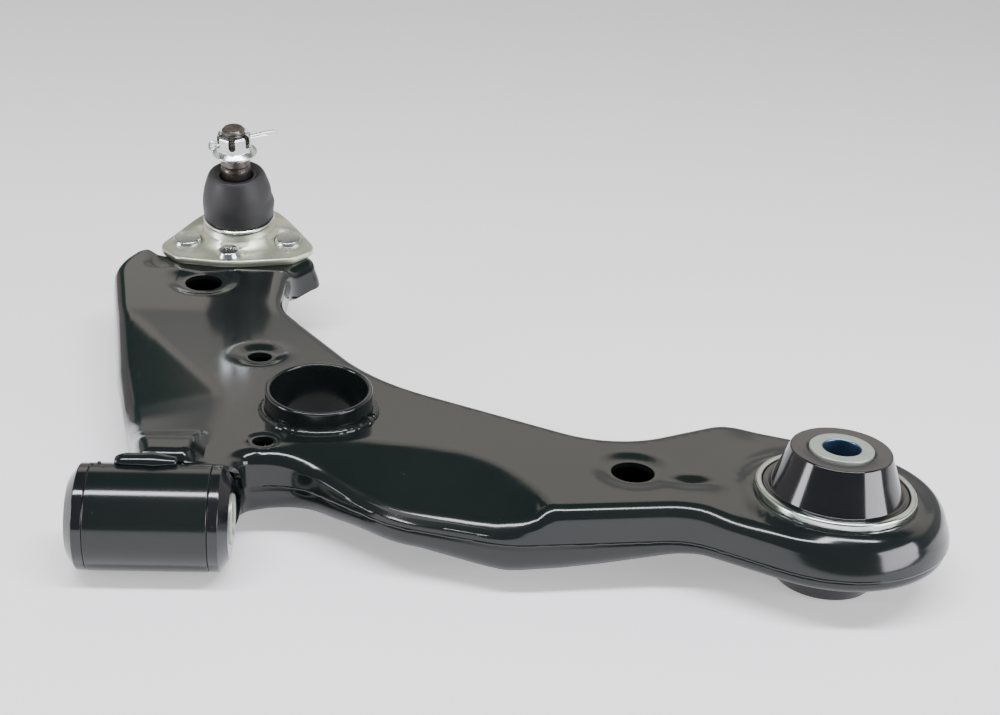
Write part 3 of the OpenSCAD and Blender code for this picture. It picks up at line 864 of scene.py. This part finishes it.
def buildSeamWeld():
    # thin uneven bead under the upper pressing's lower edge, from the tube around the rear bush
    b = seamWeld
    path = []
    for p in roundedOutline(armPlan, b["inset"], 2.5):
        if p.x > b["start"] and p.y < b["end"]:
            height = armSizes["seam"] - b["drop"] + riseAt(p.x, p.y)
            lump = noise.noise(Vector((p.x, p.y, 0)) * 0.3) * b["lumps"]
            path.append(Vector((p.x, p.y, height + lump)))
    wirePiece("seamWeldBead", path, b["radius"], looks["blackPaint"], "arm", (),
              Matrix(), 3)


tubeBead = {"length": 27, "radius": 3.6, "lumps": 0.22, "spot": (-2.4, 5.8, 24.3), "seed": 4.2}


def buildTubeBead():
    b = tubeBead
    bm = capsuleBead(b["length"], b["radius"], b["lumps"], b["seed"])
    for vert in bm.verts:
        vert.co.z *= 0.92
        vert.co.y *= 1.25
    place = Matrix.Translation(Vector(b["spot"]) * mm)
    makePiece("tubeWeldBead", bm, looks["blackPaint"], "arm", ["tube_weld"], place, 60)
    for i, (x, y, size) in enumerate(((-25, 4, 0.7), (-22.5, 6.5, 0.9), (-20, 1.5, 0.6), (13, 6, 0.8))):
        drop = bmesh.new()
        bmesh.ops.create_icosphere(drop, subdivisions=2, radius=size)
        height = math.sqrt(tubeRadius ** 2 - y ** 2)
        spot = Matrix.Translation(Vector((x, y, height)) * mm)
        makePiece("weldDrop.%d" % i, drop, looks["blackPaint"], "arm", (), spot, 60)


def buildCollar():
    c = collarSizes
    half = mounts["centre_collar_bore"]["dims"]["length_mm"] / 2
    bm = lathe([(c["inner"], -half, 0.6), (c["radius"], -half, 0.8), (c["radius"], half, c["edge"]),
                (c["inner"], half, c["edge"])], 128)
    makePiece("centreCollar", bm, looks["blackPaint"], "arm", ["centre_collar"], collarFrame)


collarBead = {"ring": 26.6, "fat": 2.3, "ripples": 46, "lumps": 0.22, "notchAngle": -0.35, "sink": 0.5}


def buildCollarBead():
    b = collarBead
    bm = bmesh.new()
    bmesh.ops.create_circle(bm, segments=14, radius=b["fat"], matrix=Matrix.Rotation(math.pi / 2, 4, "X"))
    bmesh.ops.translate(bm, verts=bm.verts, vec=(b["ring"], 0, 0))
    bmesh.ops.spin(bm, geom=list(bm.verts) + list(bm.edges), cent=(0, 0, 0), axis=(0, 0, 1),
                   dvec=(0, 0, 0), angle=math.tau, steps=240, use_merge=True)
    bmesh.ops.remove_doubles(bm, verts=bm.verts, dist=0.001)
    bmesh.ops.recalc_face_normals(bm, faces=bm.faces)
    for vert in bm.verts:
        turn = math.atan2(vert.co.y, vert.co.x)
        core = Vector((math.cos(turn), math.sin(turn), 0)) * b["ring"]
        wave = 0.03 * math.sin(turn * b["ripples"]) + b["lumps"] * noise.noise(core * 0.11)
        pinch = 0.45 * bump(b["notchAngle"], 0.035, turn)
        swell = 0.35 * bump(b["notchAngle"] - 0.16, 0.09, turn)
        vert.co = core + (vert.co - core) * (1 + wave - pinch + swell)
    foot = middle("collar_weld")
    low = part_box("collar_weld")[0]
    place = Matrix.Translation((foot.x, foot.y, low.z - b["sink"] * mm))
    makePiece("collarWeldBead", bm, looks["blackPaint"], "arm", ["collar_weld"], place, 60)


frontBush = {
    "sleeve": 11.05, "shank": 20.45, "tubeEnd": 26.05, "rim": 23.3, "rimEnd": 30.4, "face": 17.7,
    "faceEnd": 34.5, "edge": 0.7}


def buildFrontBushes():
    b = frontBush
    for name, node, place in (("frontBushFore", "front_bush_half_fore", foreFrame),
                              ("frontBushAft", "front_bush_half_aft", aftFrame)):
        bm = lathe([(b["sleeve"], 0.1, 0), (b["shank"], 0.1, 0), (b["shank"], b["tubeEnd"], 0),
                    (b["rim"], b["tubeEnd"], 0.5), (b["rim"], b["rimEnd"], b["edge"]),
                    (b["face"], b["faceEnd"], b["edge"]), (b["sleeve"] + 0.6, b["faceEnd"], 0.4),
                    (b["sleeve"], b["faceEnd"] - 0.6, 0)], 128)
        makePiece(name, bm, looks["glossPoly"], "arm", [node], place)
    half = mounts["front_bush_bore"]["dims"]["length_mm"] / 2
    bore = mounts["front_bush_bore"]["dims"]["r_mm"]
    bm = lathe([(bore, -half, 0.6), (b["sleeve"] - 0.05, -half, 0.6), (b["sleeve"] - 0.05, half, 0.6),
                (bore, half, 0.6)])
    makePiece("frontSleeve", bm, looks["sleeveZinc"], "front_sleeve_body", ["front_sleeve"],
              aftFrame)


rearBush = {
    "ringOut": 35.7, "ringIn": 32.7, "halfRing": 13.75, "ringEdge": 1.3, "shank": 32.4, "land": 13.3,
    "coneBase": 29.2, "coneEnd": 22.4, "coneTop": 31.95, "sleeve": 14.35, "sleeveOut": 14.3}


def buildRearBush():
    b = rearBush
    ring = lathe([(b["ringIn"], -b["halfRing"], 0.8), (b["ringOut"], -b["halfRing"], b["ringEdge"]),
                  (b["ringOut"], b["halfRing"], b["ringEdge"]), (b["ringIn"], b["halfRing"], 0.8)], 144)
    makePiece("rearRing", ring, looks["ringZinc"], "arm", ["rear_bush_ring"], rearFrame)
    turned = rearFrame @ Matrix.Rotation(math.pi, 4, "X")
    for name, node, place, side in (("rearBushUpper", "rear_bush_upper", rearFrame, 1),
                                    ("rearBushLower", "rear_bush_lower", turned, -1)):
        middleRadius = (b["coneBase"] + b["coneEnd"]) / 2
        bm = lathe([(b["sleeve"], 0.1, 0), (b["shank"], 0.1, 0), (b["shank"], b["land"], 0.6),
                    (b["coneBase"] + 0.6, b["land"] - 0.5, 0.7),
                    (middleRadius, (b["land"] + b["coneTop"]) / 2, 0),
                    (b["coneEnd"], b["coneTop"], 0.9), (b["sleeve"] + 1.2, b["coneTop"] - 0.2, 0.5),
                    (b["sleeve"], b["coneTop"] - 0.9, 0)], 144)
        piece = makePiece(name, bm, looks["glossPoly"], None, [node], place, 28)
        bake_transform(piece)
    half = mounts["rear_bush_bore"]["dims"]["length_mm"] / 2
    bore = mounts["rear_bush_bore"]["dims"]["r_mm"]
    bm = lathe([(bore, -half, 0.9), (b["sleeveOut"], -half, 0.5), (b["sleeveOut"], half, 0.5),
                (bore, half, 0.9)], 128)
    sleeve = makePiece("rearSleeve", bm, looks["sleeveZinc"], "rear_sleeve_body", ["rear_sleeve"],
                       rearFrame)
    # faces inside the bore take the darker copy of the zinc, painted shade in the hollow
    sleeve.data.materials.append(looks["boreShadeZinc"])
    for face in sleeve.data.polygons:
        offset = face.center - Vector(joints["rear_sleeve_turn"]["pos_m"])
        if math.hypot(offset.x, offset.y) < (bore + 0.5) * mm:
            face.material_index = 1


# Ball joint

plate = {
    "corners": [(-34, -33, 12), (-8, -37.5, 14), (3, -37.5, 14), (34, -34, 12), (47, -22, 9),
                (34, 2, 12), (18, 26, 16), (-18, 26, 16), (-34, 2, 12), (-47, -20, 9)],
    "under": -2, "top": 2, "edge": 1.3, "pitch": 1.7}
cup = {"radius": 17.5, "depth": -17.5, "seat": 19.6, "seatTop": 9.2, "cavity": 14.05}
rivetSpots = {"rivetLeft": (-30, -13.5), "rivetRight": (30, -13.5)}
rivetSizes = {"head": 8.6, "rise": 2.5, "shank": 4, "tail": 6.4, "grip": 7.5, "tailRise": 2.6}
noseRivet = {"spot": (-4, -30), "head": 7.1, "rise": 4}


def plateRise(x, y):
    # the plate sweeps up to the boot's seat like a bell mouth, with flat spots under the rivets
    away = math.hypot(x, y)
    if away < 0.1:
        return 0
    side = abs(x) / away
    outer = 27 + 8 * side ** 2
    inner = cup["seat"] + 1.6
    t = min(max((outer - away) / (outer - inner), 0), 1)
    rise = (cup["seatTop"] - 2.8 - plate["top"]) * (0.45 * t + 0.55 * t ** 2.2)
    for spot, reach in ((rivetSpots["rivetLeft"], 9.2), (rivetSpots["rivetRight"], 9.2),
                        (noseRivet["spot"], 7.4)):
        rise *= smoothStep(reach, reach + 3.5, math.hypot(x - spot[0], y - spot[1]))
    nose = -0.6 * bump(-26, 5, y) * bump(noseRivet["spot"][0], 20, x)
    return rise + nose


def buildHousing():
    corners = plate["corners"]
    levels = [(0.4, plate["under"]), (0, plate["under"] + 0.5), (0, plate["top"] - plate["edge"])]
    for i in range(1, 4):
        angle = math.pi / 2 * i / 3
        levels.append((plate["edge"] * (1 - math.cos(angle)),
                       plate["top"] - plate["edge"] * (1 - math.sin(angle))))
    bm, cap = stackedSkin(levels, corners, 2)
    gridCut(bm, cap, plate["pitch"])
    under = [edge for edge in bm.edges if edge.is_boundary]
    bmesh.ops.contextual_create(bm, geom=under)
    bmesh.ops.recalc_face_normals(bm, faces=bm.faces)
    for vert in bm.verts:
        if vert.co.z > plate["under"] + 1:
            vert.co.z += plateRise(vert.co.x, vert.co.y) * smoothStep(-1, plate["top"], vert.co.z)
    blank = makePiece("ballJointPlate", bm, looks["yellowZinc"], "arm", (), ballFrame)
    cutWith(blank, [barrel(cup["radius"] - 0.5, ballFrame)])
    blank.data.set_sharp_from_angle(angle=math.radians(40))
    c = cup
    body = lathe([(c["cavity"], c["depth"] + 2.5, 0.4), (c["cavity"] + 1.4, c["depth"], 0.3),
                  (c["radius"], c["depth"], 1.2), (c["radius"], plate["top"], 0),
                  (c["seat"] + 4.4, plate["top"] + 1.4, 0), (c["seat"] + 2.2, c["seatTop"] - 3.6, 1.5),
                  (c["seat"] + 1.3, c["seatTop"] - 1.2, 0.8), (c["seat"] + 0.5, c["seatTop"], 0.4),
                  (c["seat"] - 1.4, c["seatTop"], 0.3), (c["seat"] - 1.4, 12, 0.5), (14.7, 12, 0.4),
                  (10.9, 5.1, 0), (c["cavity"], 5.1, 0)], 128)
    makePiece("ballJointHousing", body, looks["yellowZinc"], "arm", ["ball_joint_housing"],
              ballFrame)


ear = {"half": 9.5, "root": 16, "under": -4.6, "top": -2.15}


def buildEars():
    # flat ears of the upper pressing that carry the side rivets, out of sight below the plate
    for i, (x, y) in enumerate(rivetSpots.values()):
        left, right, root, tip = x - ear["half"], x + ear["half"], y - ear["root"], y + ear["half"]
        corners = [(left, root, 1), (right, root, 1), (right, tip, 8.5), (left, tip, 8.5)]
        bm, cap = stackedSkin([(0, ear["under"]), (0, ear["top"])], corners, 2)
        bmesh.ops.contextual_create(bm, geom=[edge for edge in bm.edges if edge.is_boundary])
        bmesh.ops.recalc_face_normals(bm, faces=bm.faces)
        makePiece("rivetEar.%d" % i, bm, looks["blackPaint"], "arm", (), ballFrame)


def rivetProfile(head, rise, taper):
    r = rivetSizes
    low = plate["top"] - r["grip"]
    return [(0, plate["top"] + 0.05 + rise, 0), (head - taper, plate["top"] + 0.05 + rise, 0.9),
            (head, plate["top"] + 0.05 + rise * 0.25, 0.6), (head - 0.2, plate["top"] + 0.05, 0),
            (r["shank"], plate["top"] + 0.05, 0), (r["shank"], low, 0), (r["tail"], low, 0.5),
            (r["tail"] - 0.6, low - r["tailRise"], 0.8), (0, low - r["tailRise"], 0)]


def buildRivets():
    r = rivetSizes
    first = True
    for name, spot in rivetSpots.items():
        bm = lathe(rivetProfile(r["head"], r["rise"], 1.3), 64, closed=False)
        place = ballFrame @ Matrix.Translation(Vector((*spot, 0)) * mm)
        makePiece(name, bm, looks["brightZinc"], "arm", ["side_rivets"] if first else (),
                  place)
        first = False
    bm = lathe(rivetProfile(noseRivet["head"], noseRivet["rise"], 1.5), 64, closed=False)
    place = ballFrame @ Matrix.Translation(Vector((*noseRivet["spot"], 0)) * mm)
    makePiece("noseRivet", bm, looks["brightZinc"], "arm", ["nose_rivet"], place)


boot = {
    "foot": 10.05, "footOut": 19.2, "footIn": 18.5, "split": 25, "wall": 2, "wide": 20.9, "rim": 16.4,
    "top": 41, "lip": 9.1, "wireRing": 20.25, "wireHeight": 11.15}


def bootWall(z):
    # outer radius of the boot at a height above the ball's centre
    b = boot
    if z < 22:
        return b["wide"] - 0.25 * ((22 - z) / 9) ** 2
    share = (z - 22) / (b["top"] - 1.2 - 22)
    return b["wide"] - (b["wide"] - b["rim"]) * (0.32 * share + 0.68 * share ** 2.2)


def foldBoot(bm):
    # small crease where the rubber folds on one side
    for vert in bm.verts:
        out = math.hypot(vert.co.x, vert.co.y)
        if out < 15:
            continue
        turn = math.atan2(vert.co.y, vert.co.x)
        side = bump(0.15, 0.75, turn)
        shift = side * (0.55 * bump(20.5, 2.4, vert.co.z) - 0.55 * bump(26.0, 2.2, vert.co.z))
        vert.co.x *= 1 + shift / out
        vert.co.y *= 1 + shift / out


def buildBoot():
    b = boot
    outer = [(bootWall(z), z, 0) for z in (13.6, 15, 17, 19, 21, 23, b["split"])]
    inner = [(bootWall(z) - b["wall"], z, 0) for z in (b["split"], 22, 19, 16)]
    low = lathe([(b["footIn"], b["foot"], 0.3), (b["footOut"], b["foot"], 0.2), (b["footOut"], 12.2, 0.3),
                 (bootWall(13) - 0.5, 12.6, 0.5)] + outer + inner + [(b["footIn"], 13, 0.5)], 128)
    foldBoot(low)
    lower = makePiece("bootLower", low, looks["bootRubber"], None, ["dust_boot"],
                      ballFrame)
    outer = [(bootWall(z), z, 0) for z in (b["split"], 27, 29, 31, 33, 35, 37)]
    top = b["top"]
    rim = [(b["rim"] + 0.25, top - 1.6, 1.0), (b["rim"] - 0.9, top, 0.8), (b["rim"] - 2.6, top - 0.2, 0.5),
           (b["lip"] + 2.6, top - 1.8, 0.8), (b["lip"] + 1.2, top - 1.5, 0.5),
           (b["lip"] + 0.1, top - 3.2, 0.8), (b["lip"] + 0.1, top - 9, 0.4),
           (b["lip"] + 4, top - 9, 0.8), (b["rim"] - 1.8, top - 7, 0.8)]
    inner = [(bootWall(z) - b["wall"], z, 0) for z in (31, 28, b["split"])]
    high = lathe(outer + rim + inner, 128)
    foldBoot(high)
    upper = makePiece("bootUpper", high, looks["bootRubber"], None, ["dust_boot"],
                      ballFrame)
    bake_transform(lower)
    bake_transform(upper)
    wire, steps = b["wireRing"], 96
    angles = [t * math.tau / steps for t in range(steps)]
    ring = [(wire * math.cos(turn), wire * math.sin(turn), b["wireHeight"]) for turn in angles]
    wirePiece("bootWireRing", ring, 1.0, looks["brightZinc"], "arm", ["boot_base_ring"],
              ballFrame, closed=True)


stud = {
    "ball": 10.95, "neck": 6.2, "shank": 8.75, "shoulder": 53.45, "thread": 6.85, "tip": 70, "pitch": 1.5,
    "depth": 0.75, "pinHeight": 61.7, "pinTurn": 28}


def buildStud():
    s = stud
    profile = [(0, -s["ball"], 0)]
    for i in range(1, 13):
        angle = math.pi * (i / 14 - 0.5)
        profile.append((s["ball"] * math.cos(angle), s["ball"] * math.sin(angle), 0))
    profile += [(s["neck"], 10.5, 1.5), (s["neck"], 16, 2), (s["shank"], 24, 3), (s["shank"], 44.5, 0.5),
                (s["shank"] - 0.5, 45.3, 0.3), (s["shank"] - 0.5, 46.6, 0.3), (s["shank"] - 0.1, 47.4, 0.5),
                (s["shank"] - 1.3, s["shoulder"], 0.4), (s["thread"] - s["depth"], s["shoulder"] + 0.6, 0)]
    z = s["shoulder"] + 1.2
    while z < s["tip"] - 2.6:
        profile += [(s["thread"], z, 0.12), (s["thread"] - s["depth"], z + s["pitch"] / 2, 0.12)]
        z += s["pitch"]
    profile += [(s["thread"] - 0.1, s["tip"] - 2.0, 0.3), (s["thread"] - 0.2, s["tip"] - 1.2, 0.3),
                (s["thread"] - 1.3, s["tip"], 0.4), (0, s["tip"] - 0.15, 0)]
    bm = lathe(profile, 72, closed=False)
    piece = makePiece("ballStud", bm, looks["oiledSteel"], "stud", ["ball_stud"], ballFrame)
    pinPlace = (ballFrame @ Matrix.Translation((0, 0, s["pinHeight"] * mm))
                @ Matrix.Rotation(math.radians(s["pinTurn"]), 4, "Z")
                @ Matrix.Rotation(math.pi / 2, 4, "Y"))
    cutWith(piece, [barrel(1.6, pinPlace, 40, 24)])
    piece.data.set_sharp_from_angle(angle=math.radians(32))


nut = {"across": 19, "flange": 12.9, "flangeRise": 1.3, "height": 13, "slot": 3.8, "slotFloor": 6.2}


def buildNut():
    n = nut
    base = stud["shoulder"] + 0.05
    flange = lathe([(stud["thread"] + 0.1, base, 0.2), (n["flange"], base, 0.5),
                    (n["flange"], base + n["flangeRise"], 0.6), (n["across"] / 2 + 0.6, base + 3.6, 1.2),
                    (stud["thread"] + 0.1, base + 4, 0.2)], 96)
    hexagon = bmesh.new()
    radius = n["across"] / 2 / math.cos(math.pi / 6)
    made = bmesh.ops.create_cone(hexagon, cap_ends=True, segments=6, radius1=radius, radius2=radius,
                                 depth=n["height"] - 0.8)
    bmesh.ops.rotate(hexagon, verts=hexagon.verts, matrix=Matrix.Rotation(math.pi / 6, 3, "Z"))
    bmesh.ops.translate(hexagon, verts=hexagon.verts, vec=(0, 0, base + n["height"] / 2 + 0.4))
    top = [edge for edge in hexagon.edges if min(v.co.z for v in edge.verts) > base + n["height"] - 1]
    bmesh.ops.bevel(hexagon, geom=top, offset=1.7, affect="EDGES", segments=4, profile=0.5, material=-1,
                    offset_type="OFFSET")
    place = ballFrame @ Matrix.Rotation(math.radians(stud["pinTurn"]), 4, "Z")
    piece = makePiece("castleNut", hexagon, looks["brightZinc"], "stud", ["castle_nut"],
                      place)
    cutters = [barrel(stud["thread"] + 0.15, ballFrame, 160, 72)]
    for turn in (0, 60, 120):
        slot = bmesh.new()
        bmesh.ops.create_cube(slot, size=1)
        bmesh.ops.scale(slot, vec=(40, n["slot"], 20), verts=slot.verts)
        bmesh.ops.translate(slot, verts=slot.verts, vec=(0, 0, base + n["slotFloor"] + 10))
        upright = [edge for edge in slot.edges if abs(edge.verts[0].co.x - edge.verts[1].co.x) > 1]
        bmesh.ops.bevel(slot, geom=[e for e in upright if e.verts[0].co.z < base + n["slotFloor"] + 1],
                        offset=1.2, affect="EDGES", segments=3, profile=0.5, material=-1)
        cutters.append(makePiece("cutter", slot, None, None,
                                 place=place @ Matrix.Rotation(math.radians(turn), 4, "Z")))
    cutWith(piece, cutters)
    piece.data.set_sharp_from_angle(angle=math.radians(30))
    edges = piece.modifiers.new("softEdges", "BEVEL")
    edges.width = 0.35 * mm
    edges.segments = 2
    edges.limit_method = "ANGLE"
    edges.angle_limit = math.radians(40)
    makePiece("nutFlange", flange, looks["brightZinc"], "stud", (), place)


pin = {"radius": 0.78, "gap": 0.8, "left": -11.6, "right": 24, "loop": 2.3, "tipTurn": 0.5}


def buildPin():
    p = pin
    place = (ballFrame @ Matrix.Translation((0, 0, stud["pinHeight"] * mm))
             @ Matrix.Rotation(math.radians(stud["pinTurn"]), 4, "Z"))
    path = [(p["right"] + 3.4, 0, p["gap"] - 2.6), (p["right"] + 1.4, 0, p["gap"] - 0.7),
            (p["right"] - 0.5, 0, p["gap"])]
    path += [(p["left"] + 1.5, 0, p["gap"])]
    centre = p["left"] - p["loop"] + 0.6
    for i in range(13):
        angle = math.radians(40 + 280 * i / 12)
        path.append((centre + p["loop"] * math.cos(angle), 0, p["loop"] * math.sin(angle)))
    path += [(p["left"] + 1.5, 0, -p["gap"]), (p["right"] - 5, 0, -p["gap"] + 0.1),
             (p["right"] - 3.4, 0, -p["gap"] - 0.4)]
    wirePiece("splitPin", path, p["radius"], looks["brightZinc"], "stud", ["split_pin"],
              place)


def dressHidden():
    # CAD pieces whose plain shape is right keep it and take a finish
    for node, look in (("ball_seat_upper", "seatNylon"), ("ball_seat_lower", "seatNylon"),
                       ("housing_cap", "yellowZinc"), ("boot_lip_ring", "brightZinc")):
        materials = frame["nodes"][node].data.materials
        materials.clear()
        materials.append(looks[look])


for build in (buildSeamWeld, buildFrontTube, buildTubeBead, buildCollar, buildCollarBead,
              buildFrontBushes, buildRearBush, buildHousing, buildEars, buildRivets, buildBoot,
              buildStud, buildNut, buildPin, dressHidden):
    build()
    print("made:", build.__name__)


# Studio

studio = {
    "lens": 56.52, "camera": (0.09437, -0.60895, 0.33900), "down": 22.964, "roll": 3.531, "heading": -5.003,
    "floorDrop": 0.0004, "floorColour": (0.88, 0.88, 0.88), "floorGlow": 0.45}


def setCamera():
    heading, down, roll = [math.radians(studio[key]) for key in ("heading", "down", "roll")]
    sideways = Vector((math.cos(heading), math.sin(heading), 0))
    ahead = Vector((-math.sin(heading), math.cos(heading), 0))
    looking = ahead * math.cos(down) - Vector((0, 0, math.sin(down)))
    upright = ahead * math.sin(down) + Vector((0, 0, math.cos(down)))
    right = sideways * math.cos(roll) + upright * math.sin(roll)
    up = upright * math.cos(roll) - sideways * math.sin(roll)
    data = bpy.data.cameras.new("camera")
    data.lens = studio["lens"]
    data.sensor_width = 36
    data.sensor_fit = "HORIZONTAL"
    data.clip_start = 0.01
    camera = bpy.data.objects.new("camera", data)
    turn = Matrix((right, up, -looking)).transposed().to_4x4()
    camera.matrix_world = Matrix.Translation(studio["camera"]) @ turn
    bpy.context.scene.collection.objects.link(camera)
    bpy.context.scene.camera = camera


def softLight(name, spot, target, width, height, power, colour):
    data = bpy.data.lights.new(name, "AREA")
    data.shape = "RECTANGLE"
    data.size = width
    data.size_y = height
    data.energy = power
    data.color = colour
    light = bpy.data.objects.new(name, data)
    light.location = spot
    light.rotation_euler = (Vector(target) - Vector(spot)).to_track_quat("-Z", "Y").to_euler()
    bpy.context.scene.collection.objects.link(light)
    return light


def setFloor():
    bm = bmesh.new()
    bmesh.ops.create_grid(bm, x_segments=4, y_segments=4, size=6)
    bmesh.ops.translate(bm, verts=bm.verts, vec=(0.1, 0.1, cadBounds[0][2] - studio["floorDrop"]))
    look = bpy.data.materials.new("floorPaper")
    look.use_nodes = True
    shader = look.node_tree.nodes["Principled BSDF"]
    shader.inputs["Base Color"].default_value = (*studio["floorColour"], 1)
    shader.inputs["Roughness"].default_value = 0.9
    shader.inputs["Specular IOR Level"].default_value = 0.1
    shader.inputs["Emission Color"].default_value = (1, 1, 1, 1)
    shader.inputs["Emission Strength"].default_value = studio["floorGlow"]
    floor = makePiece("floor", bm, look, None, scale=1)


def setWorld():
    # soft studio: bright band low behind the part, dark above it
    world = bpy.data.worlds.new("studio")
    bpy.context.scene.world = world
    world.use_nodes = True
    tree = world.node_tree
    background = tree.nodes["Background"]
    direction = tree.nodes.new("ShaderNodeTexCoord").outputs["Generated"]
    split = tree.nodes.new("ShaderNodeSeparateXYZ")
    tree.links.new(direction, split.inputs[0])
    ramp = tree.nodes.new("ShaderNodeValToRGB")
    ramp.color_ramp.interpolation = "EASE"
    stops = [(0.0, (0.34, 0.33, 0.32)), (0.35, (0.36, 0.35, 0.34)), (0.43, (0.82, 0.77, 0.71)),
             (0.54, (1.0, 0.93, 0.85)), (0.63, (0.90, 0.82, 0.75)), (0.70, (0.06, 0.10, 0.085)),
             (1.0, (0.07, 0.10, 0.09))]
    while len(ramp.color_ramp.elements) < len(stops):
        ramp.color_ramp.elements.new(0.5)
    for element, (spot, colour) in zip(ramp.color_ramp.elements, stops):
        element.position = spot
        element.color = (*colour, 1)
    tree.links.new(split.outputs["Z"], ramp.inputs[0])
    behind = rampNode(tree, split.outputs["Y"], -0.15, 0.30)
    gap = tree.nodes.new("ShaderNodeMath")      # dark gap between the bright band's two parts
    gap.operation = "ADD"
    tree.links.new(rampNode(tree, split.outputs["X"], -0.32, -0.24), gap.inputs[0])
    tree.links.new(rampNode(tree, split.outputs["X"], -0.46, -0.54), gap.inputs[1])
    ahead = mixColour(tree, gap.outputs[0], (0.06, 0.10, 0.085, 1), ramp.outputs["Color"])
    colour = mixColour(tree, behind, (0.16, 0.165, 0.17, 1), ahead)
    tree.links.new(colour, background.inputs["Color"])
    background.inputs["Strength"].default_value = 1.3


def setLights():
    softLight("topStrip", (0.15, -0.22, 1.15), (0.15, 0.05, 0), 1.6, 0.16, 26, (0.93, 0.92, 1.0))
    softLight("leftPanel", (-1.15, -0.22, 0.22), (0.1, 0.05, 0.02), 0.36, 0.55, 9, (0.95, 0.93, 1.0))
    softLight("rightPanel", (1.30, -0.62, 0.30), (0.2, 0.05, 0.02), 0.85, 0.5, 14, (0.94, 0.92, 1.0))


setCamera()
setFloor()
setWorld()
setLights()
print("studio ready")
